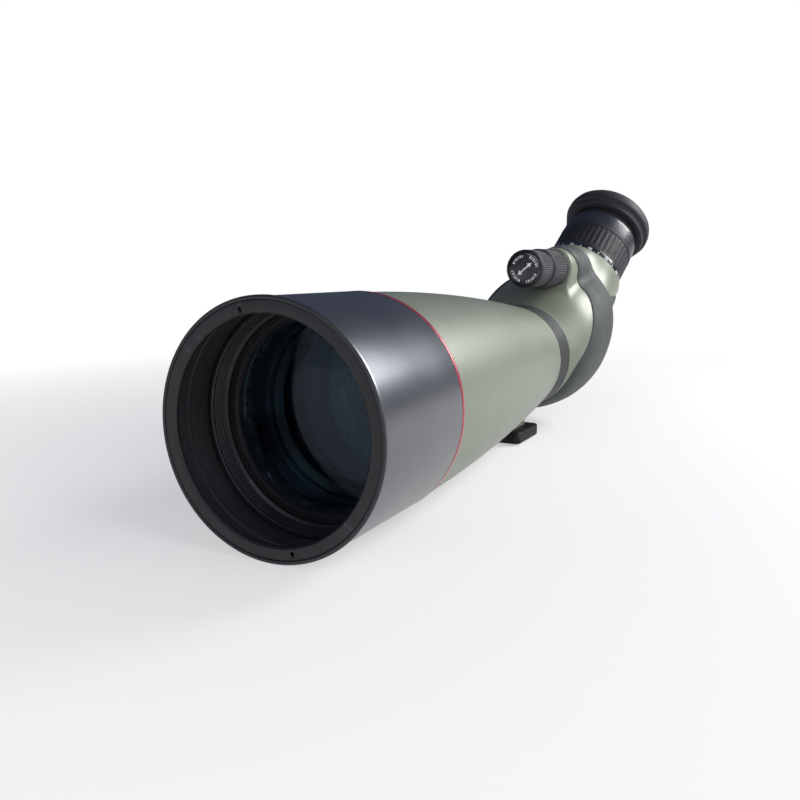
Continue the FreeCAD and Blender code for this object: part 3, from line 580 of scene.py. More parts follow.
NODE_LOOKS = {
    "green_paint": GREEN, "dark_anodised": HOOD, "black_anodised": BLACK, "red_anodised": RED,
    "grey_rubber": ARMOUR, "black_rubber": GRIP, "black_plastic": GLOSS, "dark_plastic": PLASTIC,
    "pale_plastic": PALE, "coated_glass": COATED, "clear_glass": CLEAR, "steel": STEEL,
    "brass": BRASS,
}


def dress_frame():
    """Gives every frame node the node material of its slot."""
    slots = {part["node"]: part["material_slot"] for part in frame["record"]["subparts"]}
    for name, node in NODES.items():
        node.data.materials.clear()
        node.data.materials.append(NODE_LOOKS[slots[name]])


# ---- sunshade and objective
HOOD_PITCH = 1.5          # spacing of the stray-light ridges in the hood
HOOD_RIDGE = 0.25
LAND_DEPTH = 8.5          # the stepped land in the hood's mouth, behind the trim ring
CELL_PITCH = 1.6


def sunshade():
    hood = Extent("sunshade_tube", TUBE)
    trim = Extent("front_trim_ring", TUBE)
    bore = hood.inner
    lip = trim.outer + 0.05
    outline = [(bore, trim.end + 0.1), (lip, trim.end + 0.1), (lip, 0.0), (hood.outer - 0.6, 0.0),
               (hood.outer, 0.6), (hood.outer, 2.2), (hood.outer - 0.5, 3.0),
               (hood.outer - 0.9, hood.end), (bore, hood.end)]
    land = trim.end + LAND_DEPTH
    mouth = [(bore + 0.3, land + 0.9), (bore - 0.9, land + 0.5), (bore - 0.9, land - 1.1),
             (bore - 0.3, land - 1.5), (bore - 0.3, trim.end + 1.4), (bore + 0.4, trim.end + 0.9)]
    ridges = []
    station = hood.end - 12
    while station > land + 2.4:
        ridges += [(bore + HOOD_RIDGE, station), (bore, station - 0.55),
                   (bore + HOOD_RIDGE, station - 1.1)]
        station -= HOOD_PITCH
    rounded = fillet(outline, 0.35, 3) + [(bore, hood.end - 11)] + ridges + mouth
    shell = lathe("hood_shell", TUBE, rounded, "sunshade", HOOD, ("sunshade_tube",),
                  round_to=0, segments=256)
    blacken_inside(shell, TUBE, lambda local: (np.hypot(local[:, 0], local[:, 2]) < bore + 0.7)
                   | (local[:, 1] < 0.55))


SPANNER_ANGLE = 117.0    # degrees round the rim from its side
SPANNER_R = 0.85


def trim_ring():
    trim = Extent("front_trim_ring", TUBE)
    outer = trim.outer - 0.12
    outline = [(trim.inner + 0.7, trim.start), (outer, trim.start), (outer, trim.end),
               (trim.inner + 2.4, trim.end), (trim.inner + 2.4, trim.start + 2.5),
               (trim.inner, trim.start + 2.5), (trim.inner, trim.start + 0.8)]
    ring = lathe("trim_ring", TUBE, outline, "sunshade", BLACK, ("front_trim_ring",),
                 round_to=0.2, segments=256)
    middle = (trim.inner + outer) / 2
    holes = [(middle * math.cos(math.radians(a)), middle * math.sin(math.radians(a)))
             for a in (SPANNER_ANGLE, SPANNER_ANGLE + 180)]
    drill(ring, TUBE, holes, SPANNER_R, trim.start - 1, trim.start + 1.6)


def drill(piece, axis, places, radius, start, end):
    """Cuts round holes along an axis through a piece, at local (x, z) places."""
    for x, z in places:
        outline = [(0.0, start), (radius, start), (radius, end), (0.0, end)]
        vertices, faces = lathe_mesh(axis, outline, 24)
        offset = np.array(axis.side) * x * MM + np.array(axis.up) * z * MM
        mesh = bpy.data.meshes.new("cutter")
        mesh.from_pydata([tuple(v) for v in vertices + offset], [], faces)
        clean = bmesh.new()
        clean.from_mesh(mesh)
        bmesh.ops.remove_doubles(clean, verts=clean.verts, dist=1e-8)
        bmesh.ops.recalc_face_normals(clean, faces=clean.faces)
        clean.to_mesh(mesh)
        clean.free()
        cutter = bpy.data.objects.new("cutter", mesh)
        bpy.context.scene.collection.objects.link(cutter)
        modifier = piece.modifiers.new("hole", "BOOLEAN")
        modifier.operation = "DIFFERENCE"
        modifier.solver = "EXACT"
        modifier.object = cutter
        apply_modifiers(piece)
        bpy.data.objects.remove(cutter)


def apply_modifiers(piece):
    bpy.context.view_layer.update()
    graph = bpy.context.evaluated_depsgraph_get()
    made = bpy.data.meshes.new_from_object(piece.evaluated_get(graph))
    piece.modifiers.clear()
    piece.data = made


LIP_R = 36.4             # mouth of the step behind the rear lens
BORE_STEP = 0.5           # depth of the turned stray-light steps


def objective_parts():
    cell = Extent("objective_cell", TUBE)
    holder = Extent("objective_retainer", TUBE)
    front = Extent("objective_front_lens", TUBE)
    rear = Extent("objective_rear_lens", TUBE)
    outer = cell.outer
    wall = outer - 2.4
    steps = []
    station = cell.start + 2.0
    while station < holder.start - 1.6:
        steps += [(wall + BORE_STEP, station), (wall, station + 0.6),
                  (wall + BORE_STEP, station + 1.2)]
        station += CELL_PITCH
    steps.reverse()
    outline = [(wall, cell.start + 0.7), (wall + 0.6, cell.start), (outer - 0.5, cell.start),
               (outer, cell.start + 0.5), (outer, red_start() - 0.2), (outer - 0.8, red_start() - 0.2),
               (outer - 0.8, cell.end), (cell.inner, cell.end), (cell.inner, rear.end + 6.4),
               (LIP_R, rear.end + 6.2), (LIP_R, rear.end + 5.4), (cell.inner, rear.end + 3.4),
               (cell.inner, rear.end + 0.2),
               (front.outer + 0.05, rear.end + 0.2), (front.outer + 0.05, holder.end + 0.2),
               (holder.outer + 0.05, holder.end + 0.2), (holder.outer + 0.05, holder.start - 1.0)]
    lathe("objective_cell_body", TUBE, fillet(outline, 0.15, 2) + steps, "scope", BLACK,
          ("objective_cell",), round_to=0, segments=256)
    ring = [(holder.inner, holder.start + 1.4), (holder.inner + 0.9, holder.start),
            (holder.outer, holder.start), (holder.outer, holder.end), (holder.inner, holder.end)]
    lathe("retaining_ring", TUBE, ring, "scope", BLACK, ("objective_retainer",),
          round_to=0.2, segments=256)
    lens_disc("front_element", TUBE, front.outer, front.start + 3.2, front.start + 6.6, 3.2, 2.2,
              "scope", COATED, "objective_front_lens")
    lens_disc("rear_element", TUBE, rear.outer, rear.start, rear.end, -1.6, -0.8, "scope",
              COATED, "objective_rear_lens")


def red_start():
    return Extent("red_ring", TUBE).start


def lens_disc(name, axis, radius, front, back, front_bulge, back_bulge, body, material, node):
    """Lens with spherical faces; a positive bulge stands out from its edge."""
    def face(edge, bulge, side, share):
        return edge + side * bulge * (1 - share ** 2)
    shares = np.linspace(0, 1, 14)
    outline = [(radius * s, face(front, front_bulge, -1, s)) for s in shares]
    outline += [(radius * s, face(back, back_bulge, 1, s)) for s in shares[::-1]]
    lathe(name, axis, outline, body, material, (node,), round_to=0, segments=160,
          sharp=50)


RED_PROUD = 0.45          # the red ring's visible edge stands this far out


def red_band():
    red = Extent("red_ring", TUBE)
    outline = ring_outline(red.inner, red.outer + RED_PROUD, red.start, red.end)
    lathe("red_trim", TUBE, outline, "scope", RED, ("red_ring",), round_to=0.35,
          segments=256)


# ---- tube
TUBE_CURVE = 1.7          # 1 is a straight cone, more bulges the tube
TUBE_WALL = 2.2
TUBE_NODE = Extent("objective_tube", TUBE)
THRUST = Extent("thrust_ring", MOUNT)
COLLAR = Extent("mount_collar", MOUNT)
BAND_NODE = Extent("grip_band", TUBE)
NECK_R = THRUST.inner - 0.05


def tube_radius(station):
    share = (station - TUBE_NODE.start) / (THRUST.start - TUBE_NODE.start)
    share = np.clip(share, 0, 1.2)
    return TUBE_NODE.outer - (TUBE_NODE.outer - THRUST.outer) * share ** TUBE_CURVE


def main_tube():
    step = COLLAR.start - 0.1
    stations = np.linspace(TUBE_NODE.start + 0.5, step, 40)
    outside = [(float(tube_radius(s)), float(s)) for s in stations]
    inside = [(float(tube_radius(s)) - TUBE_WALL, float(s))
              for s in np.linspace(step - 4, TUBE_NODE.start + 14, 20)]
    front = TUBE_NODE.start
    outline = [(TUBE_NODE.outer - 1.75, front), (TUBE_NODE.outer - 0.35, front)] + outside
    outline += [(NECK_R, step), (NECK_R, TUBE_NODE.end), (NECK_R - 2.5, TUBE_NODE.end),
                (NECK_R - 2.5, step - 4)] + inside + [(TUBE_NODE.outer - 1.75, front + 13)]
    tube = lathe("tube_shell", TUBE, outline, "scope", GREEN, ("objective_tube",),
                 round_to=0, segments=256)
    blacken_inside(tube, TUBE, lambda local: np.hypot(local[:, 0], local[:, 2])
                   < np.where(local[:, 1] < step - 1, tube_radius(local[:, 1]) - 1.2, NECK_R - 1))


def blacken_inside(piece, axis, is_inside):
    """Gives the faces that is_inside picks, by their local centres, the stray-light black."""
    piece.data.materials.append(DEEP_BLACK)
    centres = np.empty(len(piece.data.polygons) * 3)
    piece.data.polygons.foreach_get("center", centres)
    picked = is_inside(axis.local(centres.reshape(-1, 3)))
    piece.data.polygons.foreach_set("material_index", picked.astype(np.int32))


def grip_ring():
    outline = ring_outline(BAND_NODE.inner, BAND_NODE.outer, BAND_NODE.start, BAND_NODE.end)
    lathe("grip_band_rubber", TUBE, outline, "scope", BAND, ("grip_band",),
          round_to=0.7, segments=256)


def thrust_washer():
    outline = [(THRUST.inner, THRUST.start), (THRUST.outer - 0.1, THRUST.start),
               (THRUST.outer - 0.2, THRUST.end), (THRUST.inner, THRUST.end)]
    lathe("thrust_washer", MOUNT, outline, "mount", PALE, ("thrust_ring",),
          round_to=0.15, segments=200)


# ---- collar and foot
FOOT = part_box("foot_plate")
FOOT_TOP = float(MOUNT.local([FOOT[1]])[0][2])
FOOT_CHAMFER = 0.8
FOOT_CORNER = 4.0
THREAD_R = 3.1
THREAD_PITCH = 1.27
THREAD_DEPTH = 0.45
PIN_HOLE_R = 2.75
PIN_HOLE_Y = -14.5
PIN_HOLE_DEPTH = 5.0
SCREW_HEAD_R = 3.1
SCREW_HEAD_DEPTH = 1.6
SCREW_YS = (-7.7, 8.2)
COLLAR_CELL = 1.0


def collar_field(p):
    hoop = np.hypot(p[:, 0], p[:, 2]) - tube_radius(p[:, 1])
    hoop = np.maximum(hoop, p[:, 1] - THRUST.start + 0.3)
    depth = np.clip((p[:, 2] - FOOT_TOP) / (-NECK_R + 4 - FOOT_TOP), 0, 1)
    half_width = 11.0 + 7.5 * depth ** 1.6
    front = 235.0 - 5.0 * depth ** 1.5
    rear = 261.0 - 6.0 * depth ** 0.7
    across = np.abs(p[:, 0]) - half_width
    along = np.abs(p[:, 1] - (front + rear) / 2) - (rear - front) / 2
    stem = both(across, along, 5.0)
    stem = np.maximum(stem, p[:, 2] + 12)
    solid = join(hoop, stem, 7.0)
    under_band = BAND_NODE.outer + 0.5 - np.hypot(p[:, 0], p[:, 2])
    under_band = np.where(p[:, 1] > THRUST.start, under_band, -9.0)
    solid = np.maximum(solid, under_band)
    solid = np.maximum(solid, NECK_R + 0.05 - np.hypot(p[:, 0], p[:, 2]))
    return np.maximum(solid, FOOT_TOP + 0.02 - p[:, 2])


def mount_collar():
    low = (-42.0, COLLAR.start - 2.0, FOOT_TOP - 2)
    high = (42.0, COLLAR.end + 3.0, 42.0)
    vertices, faces = grow_net(collar_field, low, high, COLLAR_CELL)
    collar = finish_piece("collar_casting", MOUNT.world(vertices), faces, "mount", GREEN,
                          ("mount_collar",), sharp=50)
    cut_flat(collar, MOUNT, COLLAR.start + 0.02)


def cut_flat(piece, axis, station, keep_after=True, sharp=50):
    """Cuts a piece off square at a station and closes the cut ring."""
    point = axis.origin + axis.forward * station * MM
    work = bmesh.new()
    work.from_mesh(piece.data)
    parts = work.verts[:] + work.edges[:] + work.faces[:]
    bmesh.ops.bisect_plane(work, geom=parts, dist=1e-7, plane_co=point, plane_no=axis.forward,
                           clear_inner=keep_after, clear_outer=not keep_after)
    rim = [edge for edge in work.edges if edge.is_boundary]
    bmesh.ops.bridge_loops(work, edges=rim)
    bmesh.ops.recalc_face_normals(work, faces=work.faces)
    work.to_mesh(piece.data)
    work.free()
    piece.data.set_sharp_from_angle(angle=math.radians(sharp))


def foot():
    """Dovetail plate with softened edges, a threaded hole, a pin hole and two screw holes."""
    low, high = (MOUNT.local([corner])[0] for corner in FOOT)
    half_x = (high[0] - low[0]) / 2
    half_y = (high[1] - low[1]) / 2
    thickness = high[2] - low[2]
    chamfer = FOOT_CHAMFER
    levels = [(0.0, chamfer), (0.12, chamfer * 0.7), (chamfer * 0.7, 0.12), (chamfer, 0.0),
              (thickness - chamfer, 0.0), (thickness - chamfer * 0.7, 0.12),
              (thickness - 0.12, chamfer * 0.7), (thickness, chamfer)]
    loops = [rounded_rectangle(half_x - inset, half_y - inset, FOOT_CORNER - inset, height)
             for height, inset in levels]
    middle = (low + high) / 2
    shift = np.array([middle[0], middle[1], low[2]])
    vertices = np.concatenate(loops) + shift
    count = len(loops[0])
    faces = [tuple(range(count)), tuple(range(len(vertices) - count, len(vertices)))]
    for level in range(len(loops) - 1):
        for k in range(count):
            m = (k + 1) % count
            base = level * count
            faces.append((base + k, base + m, base + count + m, base + count + k))
    plate = finish_piece("foot_plate_shell", MOUNT.world(vertices), faces, "mount", FOOT_BLACK,
                         ("foot_plate",), sharp=50)
    thread = THREAD_R + 0.02
    drill(plate, FOOT_AXIS, [(0.0, 0.0)], thread, -1, thickness + 1)
    drill(plate, FOOT_AXIS, [(0.0, PIN_HOLE_Y)], PIN_HOLE_R, -1, PIN_HOLE_DEPTH)
    drill(plate, FOOT_AXIS, [(0.0, y) for y in SCREW_YS], SCREW_HEAD_R, -1,
          SCREW_HEAD_DEPTH)
    plate.data.set_sharp_from_angle(angle=math.radians(40))
    turns = []
    station = 0.5
    while station < thickness - 1.4:
        turns += [(thread, station), (thread - THREAD_DEPTH, station + 0.6)]
        station += THREAD_PITCH
    outline = [(thread + 0.01, 0.4)] + turns + [(thread, station), (thread + 0.01, station)]
    lathe("tripod_thread_turns", FOOT_AXIS, outline, "mount", STEEL, (), round_to=0,
          segments=64)


def rounded_rectangle(half_x, half_y, corner, height, steps=8):
    points = []
    for quarter, (sx, sy) in enumerate(((1, 1), (-1, 1), (-1, -1), (1, -1))):
        for step in range(steps + 1):
            angle = math.pi / 2 * (quarter + step / steps)
            points.append((sx * (half_x - corner) + corner * math.cos(angle),
                           sy * (half_y - corner) + corner * math.sin(angle), height))
    return np.array(points)


def lock_knob():
    head = Extent("lock_knob", LOCK)
    outer = head.outer
    flutes = 8

    def lobes(turn, radius, station):
        wave = (0.5 - 0.5 * np.cos(turn * flutes)) ** 2
        return np.where(radius > outer - 2.6, 0.95 * wave, 0.0)

    outline = [(3.0, head.start), (outer - 1.6, head.start), (outer, head.start + 1.4),
               (outer, head.end - 2.4), (outer - 1.6, head.end - 1.0), (5.2, head.end),
               (3.0, head.end)]
    lathe("lock_knob_head", LOCK, outline, "lock_knob", PLASTIC, ("lock_knob",),
          round_to=0.8, segments=192, ripple=lobes, sharp=50)
    cap = [(0.0, head.start - 0.25), (2.4, head.start - 0.25), (3.0, head.start + 0.1),
           (3.0, head.start + 1.0), (0.0, head.start + 1.0)]
    lathe("lock_knob_plug", LOCK, cap, "lock_knob", GLOSS, (), round_to=0.1,
          segments=64)


# ---- rear casting and armour
# station, half width, height of the widest point, top, bottom, roundness exponent
BODY_SECTIONS = np.array((
    (262.0, 33.0, 0.0, 33.0, -33.0, 2.00),
    (276.6, 33.4, 0.0, 33.4, -33.4, 2.00),
    (283.0, 37.0, 3.0, 38.5, -34.0, 2.08),
    (291.0, 39.6, 7.0, 45.0, -34.4, 2.15),
    (300.0, 41.2, 10.0, 49.5, -34.2, 2.20),
    (315.0, 42.0, 13.0, 53.5, -32.5, 2.25),
    (330.0, 41.6, 15.0, 56.5, -28.5, 2.25),
    (342.0, 38.6, 17.0, 58.5, -21.0, 2.20),
    (352.0, 32.5, 20.0, 59.0, -11.0, 2.10),
    (360.0, 24.0, 24.0, 57.0, 0.0, 2.00),
))
SEAM_LINE = np.array((
    (-60.0, 277.4), (-20.0, 277.4), (-8.0, 279.0), (4.0, 282.0), (14.0, 288.0), (29.5, 297.0),
    (40.0, 303.5), (48.0, 309.5), (54.0, 312.0), (60.0, 310.5), (66.0, 307.0), (73.0, 303.5),
    (100.0, 303.0),
))
CASTING_WALL = 2.5
CASTING_CELL = 1.1        # mesh cell of the casting
ARMOUR_CELL = 0.9
ARMOUR_THICKNESS = 1.4
ARMOUR_BEDDING = 1.3      # how far the rubber's inner face lies inside the casting's surface
EDGE_THICKNESS = 0.55
EDGE_WIDTH = 6.0          # the rubber thickens over this width
SOCKET_R = 30.0
SCALE = Extent("scale_ring", EYE)
SOCKET_END = SCALE.start - 0.2
HUMP_START = 296.0
HUMP_R = 13.4
HUMP_END = 352.0
BODY_END = 360.0
BUSH_HOLE_R = 6.6


def casting_field(p):
    """Distance to the outside of the rear casting in the tube's own frame."""
    value = casting_form(p)
    near = np.abs(value) < 7
    close = p[near]
    slope = np.empty_like(close)
    for i in range(3):
        step = np.zeros(3)
        step[i] = 0.3
        slope[:, i] = (casting_form(close + step) - value[near]) / 0.3
    value[near] /= np.maximum(np.linalg.norm(slope, axis=1), 0.7)
    return value


def casting_form(p):
    knots = BODY_SECTIONS[:, 0]
    half, middle, top, bottom, power = (smooth_table(knots, BODY_SECTIONS[:, i], p[:, 1])
                                        for i in range(1, 6))
    rise = p[:, 2] - middle
    height = np.where(rise > 0, top - middle, middle - bottom)
    u = np.abs(p[:, 0]) / half
    v = np.abs(rise) / height
    loft = ((u ** power + v ** power + 1e-9) ** (1 / power) - 1) * np.minimum(half, height)
    loft = np.maximum(loft, p[:, 1] - BODY_END)
    along, across = eye_distances(p)
    socket = np.maximum(across - SOCKET_R, -along)
    belly = np.sqrt(p[:, 0] ** 2 + (p[:, 1] - EYE_STATION) ** 2 + (p[:, 2] + 0.5) ** 2)
    belly = belly - SOCKET_R - 1.0
    hump = np.hypot(p[:, 0], p[:, 2] - KNOB_HEIGHT) - HUMP_R
    web = np.maximum(np.abs(p[:, 0]) - HUMP_R, np.abs(p[:, 2] - 39.0) - (KNOB_HEIGHT - 39.0))
    hump = np.minimum(hump, web)
    hump = both(hump, HUMP_START - p[:, 1], 2.0)
    hump = np.maximum(hump, p[:, 1] - HUMP_END)
    solid = join(loft, belly, 10.0)
    solid = join(solid, socket, 9.0)
    return join(solid, hump, 6.0)


def eye_distances(p):
    """Station along the eyepiece axis, and distance from it, of points in the tube's frame."""
    ahead = p[:, 1] - EYE_STATION
    along = (ahead + p[:, 2]) / math.sqrt(2)
    aside = (ahead - p[:, 2]) / math.sqrt(2)
    return along, np.hypot(p[:, 0], aside)


def shell_field(p):
    """The casting as a hollow shell with a hole for the focus shaft's bush."""
    outside = casting_field(p)
    shell = np.maximum(outside, -(outside + CASTING_WALL))
    hole = bar_y(p, BUSH_HOLE_R, HUMP_START - 12, HUMP_START + 9, 0.0, KNOB_HEIGHT)
    room = 25.2 - eye_distances(p)[1]
    room = np.where(eye_distances(p)[0] > 30, room, -9.0)
    return np.maximum(np.maximum(shell, -hole), room)


def armour_field(p):
    """Rubber skin over the casting, behind the seam and below the bare end of the socket."""
    outside = casting_field(p)
    behind_seam = (smooth_table(SEAM_LINE[:, 0], SEAM_LINE[:, 1], p[:, 2]) - p[:, 1]) * 0.85
    bare_socket = both(339.5 - p[:, 1], 45.5 - p[:, 2], 14.0)
    along = eye_distances(p)[0]
    region = both(behind_seam, -bare_socket, 3.0)
    region = both(region, along - (SOCKET_END - 2.2), 6.0)
    depth = np.clip(-region / EDGE_WIDTH, 0, 1)
    thickness = EDGE_THICKNESS + (ARMOUR_THICKNESS - EDGE_THICKNESS) * depth * (2 - depth)
    skin = np.maximum(outside - thickness, -(outside + ARMOUR_BEDDING))
    return both(skin, region, 0.9)


def rear_casting():
    band_end = BAND_NODE.end + 0.2
    low = (-48.0, band_end - 3.0, -40.0)
    high = (48.0, 398.0, 84.0)
    vertices, faces = grow_net(shell_field, low, high, CASTING_CELL)
    casting = finish_piece("prism_casting", TUBE.world(vertices), faces, "scope", GREEN,
                           ("prism_housing",), sharp=55)
    cut_flat(casting, TUBE, band_end + 0.05, sharp=55)
    cut_flat(casting, EYE, SOCKET_END, keep_after=False, sharp=55)
    blacken_inside(casting, TUBE, lambda local: casting_field(local) < -CASTING_WALL * 0.5)
    neck_end = band_end + 1.2
    outline = [(30.0, BAND_NODE.start), (31.9, BAND_NODE.start), (31.9, neck_end),
               (27.4, neck_end), (27.4, 266.05), (30.0, 266.05)]
    lathe("casting_neck", TUBE, outline, "scope", DEEP_BLACK, (), round_to=0.2,
          segments=160)


def armour_skin():
    low = (-50.0, 272.0, -42.0)
    high = (50.0, 400.0, 86.0)
    vertices, faces = grow_net(armour_field, low, high, ARMOUR_CELL)
    finish_piece("armour_skin", TUBE.world(vertices), faces, "scope", ARMOUR, ("rubber_armour",),
                 sharp=60)


# ---- focus knob
def focus_knob():
    fine = Extent("fine_grip", KNOB)
    coarse = Extent("coarse_grip", KNOB)
    cap = Extent("fine_cap", KNOB)
    outline = [(cap.outer + 0.06, 0.35), (cap.outer + 0.2, 0.0), (fine.outer - 1.0, 0.0),
               (fine.outer, 1.0), (fine.outer, 2.6), (fine.outer - 0.35, 3.0),
               (fine.outer - 0.35, fine.end - 1.6), (fine.outer, fine.end - 1.2),
               (fine.outer, fine.end), (fine.inner, fine.end), (fine.inner, 2.0),
               (cap.outer + 0.06, 2.0)]
    lathe("fine_grip_ribbed", KNOB, stepped(outline), "fine_knob", GRIP, ("fine_grip",),
          round_to=0, segments=432,
          ripple=ribs(54, -0.34, 3.2, fine.end - 1.8, fine.outer - 1.0, 1.4, 0.8), sharp=60)
    start = coarse.start
    outline = [(coarse.inner, start), (coarse.outer - 0.6, start), (coarse.outer, start + 0.6),
               (coarse.outer, start + 2.4), (coarse.outer - 0.4, start + 2.8),
               (coarse.outer - 0.4, coarse.end - 3.6), (coarse.outer, coarse.end - 3.2),
               (coarse.outer, coarse.end - 0.8), (coarse.outer - 0.8, coarse.end),
               (coarse.inner + 2, coarse.end), (coarse.inner + 2, coarse.end - 2.95),
               (coarse.outer - 2.5, coarse.end - 2.95), (coarse.outer - 2.5, start + 0.95),
               (coarse.inner, start + 0.95)]
    lathe("coarse_grip_ribbed", KNOB, stepped(outline), "coarse_knob", GRIP, ("coarse_grip",),
          round_to=0, segments=432,
          ripple=ribs(54, -0.38, start + 3.0, coarse.end - 3.8, coarse.outer - 1.0, 1.4, 0.8),
          sharp=60)
    disc = [(0.0, cap.start - 0.02), (4.0, cap.start), (8.0, cap.start + 0.1),
            (cap.outer - 0.5, cap.start + 0.25), (cap.outer - 0.02, cap.start + 0.6),
            (cap.outer - 0.02, cap.end), (0.0, cap.end)]
    lathe("knob_cap", KNOB, disc, "fine_knob", GLOSS, ("fine_cap",), round_to=0,
          segments=160)
    knob_marks(cap)


def stepped(outline, longest=1.4):
    """Rounds an outline and splits its long sides, so that ribs can fade along them."""
    points = fillet(outline, 0.3, 3)
    split = []
    for i, point in enumerate(points):
        after = points[(i + 1) % len(points)]
        length = math.dist(point, after)
        parts = max(1, int(math.ceil(length / longest)))
        for k in range(parts):
            share = k / parts
            split.append((point[0] + (after[0] - point[0]) * share,
                          point[1] + (after[1] - point[1]) * share))
    return split


def knob_marks(cap):
    """Two arrows along a bar in the middle, and arcs of short strokes round the edge."""
    shapes = []
    tilt = math.radians(55)
    half = 4.6
    shapes.append(bar_shape(-half + 1.2, half - 1.2, 0.42, tilt))
    for side in (1, -1):
        tip = [(half + 1.0, 0.0), (half - 1.6, 1.5), (half - 1.6, -1.5)]
        shapes.append([turn_point(side * x, side * y, tilt) for x, y in tip])
    for first in (25, 115, 205, 295):
        for k in range(6):
            middle = math.radians(first + 10.5 * k)
            width = math.radians(6.2 if k % 2 else 3.4)
            radii = (6.9, 8.4)
            stroke = [(r * math.cos(a), r * math.sin(a))
                      for r, a in ((radii[0], middle - width / 2), (radii[1], middle - width / 2),
                                   (radii[1], middle + width / 2), (radii[0], middle + width / 2))]
            shapes.append(stroke)
    flat_marks("knob_marks", KNOB, shapes, cap.start + 0.02, -0.09, "fine_knob")


def turn_point(x, y, angle):
    return (x * math.cos(angle) - y * math.sin(angle), x * math.sin(angle) + y * math.cos(angle))


def bar_shape(x0, x1, half, angle):
    return [turn_point(x, y, angle) for x, y in ((x0, -half), (x1, -half), (x1, half), (x0, half))]


def flat_marks(name, axis, shapes, station, height, body):
    """Thin raised marks on a face square to the axis; shapes are lists of local (x, z)."""
    vertices = []
    faces = []
    for shape in shapes:
        base = len(vertices)
        count = len(shape)
        for lift in (0.25, height):
            for x, z in shape:
                bulge = 0.25 * (math.hypot(x, z) / 10) ** 2
                vertices.append((x, station + bulge + lift, z))
        faces += slab_faces(base, count)
    finish_piece(name, axis.world(np.array(vertices)), faces, body, INK, ())


def slab_faces(base, count):
    """Faces of a slab whose lower ring of count vertices starts at base, its upper ring after it."""
    faces = [tuple(range(base, base + count)), tuple(range(base + count, base + 2 * count))]
    for k in range(count):
        m = (k + 1) % count
        faces.append((base + k, base + m, base + count + m, base + count + k))
    return faces


# ---- eyepiece
def eyepiece():
    grip = Extent("zoom_grip", EYE)
    base = Extent("eyecup_base", EYE)
    sleeve = Extent("eyecup_sleeve", EYE)
    cup = Extent("eyecup_rubber", EYE)
    outline = ring_outline(SCALE.inner, SCALE.outer, SCALE.start, SCALE.end)
    lathe("scale_ring_gloss", EYE, outline, "scope", GLOSS, ("scale_ring",),
          round_to=0.45, segments=256)
    outline = [(grip.inner, grip.start), (grip.outer, grip.start), (grip.outer, grip.start + 2.2),
               (grip.outer - 0.4, grip.start + 2.6), (grip.outer - 0.4, grip.end - 2.0),
               (grip.outer, grip.end - 1.6), (grip.outer, grip.end), (grip.inner, grip.end)]
    lathe("zoom_grip_ribbed", EYE, stepped(outline), "zoom_ring", GRIP, ("zoom_grip",),
          round_to=0, segments=528,
          ripple=ribs(44, -0.30, grip.start + 2.8, grip.end - 2.2, grip.outer - 1.2, 1.2, 1.2),
          sharp=60)
    shoulder = [(base.outer, base.start + 0.3), (base.outer, base.end - 6.0),
                (base.outer - 0.2, base.end - 3.6), (base.outer - 0.8, base.end - 1.6),
                (base.outer - 1.6, base.end - 0.1)]
    pocket = sleeve.outer + 0.05
    outline = [(base.inner, base.start), (base.outer - 0.3, base.start)] + shoulder
    outline += [(pocket, base.end - 0.1), (pocket, base.start + 2.0), (base.inner, base.start + 2.0)]
    lathe("eyecup_base_ring", EYE, outline, "scope", SMOOTH, ("eyecup_base",),
          round_to=0.3, segments=256, sharp=60)
    outline = ring_outline(sleeve.inner, sleeve.outer, sleeve.start, sleeve.end)
    lathe("eyecup_sleeve_tube", EYE, outline, "eyecup", BLACK, ("eyecup_sleeve",),
          round_to=0.3, segments=200)
    bottom = cup.start
    top = cup.end
    skirt = cup.outer - 2.3
    lip_start = bottom + 5.0
    outline = [(sleeve.outer + 0.02, bottom), (skirt - 0.5, bottom), (skirt, bottom + 0.6),
               (skirt, lip_start - 0.7), (skirt + 0.4, lip_start - 0.1),
               (cup.outer - 0.5, lip_start + 0.3), (cup.outer, lip_start + 1.6),
               (cup.outer - 0.1, top - 6.0), (cup.outer - 0.9, top - 3.4),
               (cup.outer - 2.6, top - 1.2), (cup.outer - 5.0, top), (cup.outer - 7.4, top - 0.9),
               (cup.outer - 9.0, top - 4.5), (cup.inner + 0.5, top - 7.8),
               (cup.inner, top - 8.8), (sleeve.outer + 0.02, top - 8.8)]
    lathe("eyecup_soft", EYE, outline, "eyecup", CUP, ("eyecup_rubber",),
          round_to=0.7, segments=256, sharp=60)
    retainer = Extent("eye_retainer", EYE)
    outline = [(retainer.inner, retainer.start), (retainer.outer, retainer.start),
               (retainer.outer, retainer.end), (retainer.inner + 1.2, retainer.end),
               (retainer.inner, retainer.end - 1.2)]
    lathe("eye_lens_ring", EYE, outline, "scope", BLACK, ("eye_retainer",),
          round_to=0.15, segments=200)
    glass = Extent("eye_lens", EYE)
    lens_disc("eye_glass", EYE, glass.outer, glass.start + 1.6, glass.end - 2.2, 1.6, 2.2,
              "scope", EYE_GLASS, "eye_lens")


def zoom_marks():
    """Magnification numbers wrapped round the scale ring, and a dot on the zoom grip."""
    grip = Extent("zoom_grip", EYE)
    toward = EYE.local([CAMERA_PLACE])[0]
    facing = math.degrees(math.atan2(toward[2], toward[0]))
    middle = (SCALE.start + SCALE.end) / 2
    size = 3.1
    strokes = []
    for i, number in enumerate((20, 30, 40, 50, 60)):
        angle = facing + 62 - 28 * i
        wrap_number(str(number), angle, middle - size * 0.30, size)
        strokes.append(angle - 14)
    shapes = [(angle, middle, 0.5, 1.3) for angle in strokes[:-1]]
    wrap_strokes("scale_strokes", shapes, SCALE.outer, "scope")
    wrap_strokes("zoom_index", [(facing + 62, grip.start + 1.2, 1.0, 1.5)], grip.outer,
                 "zoom_ring")


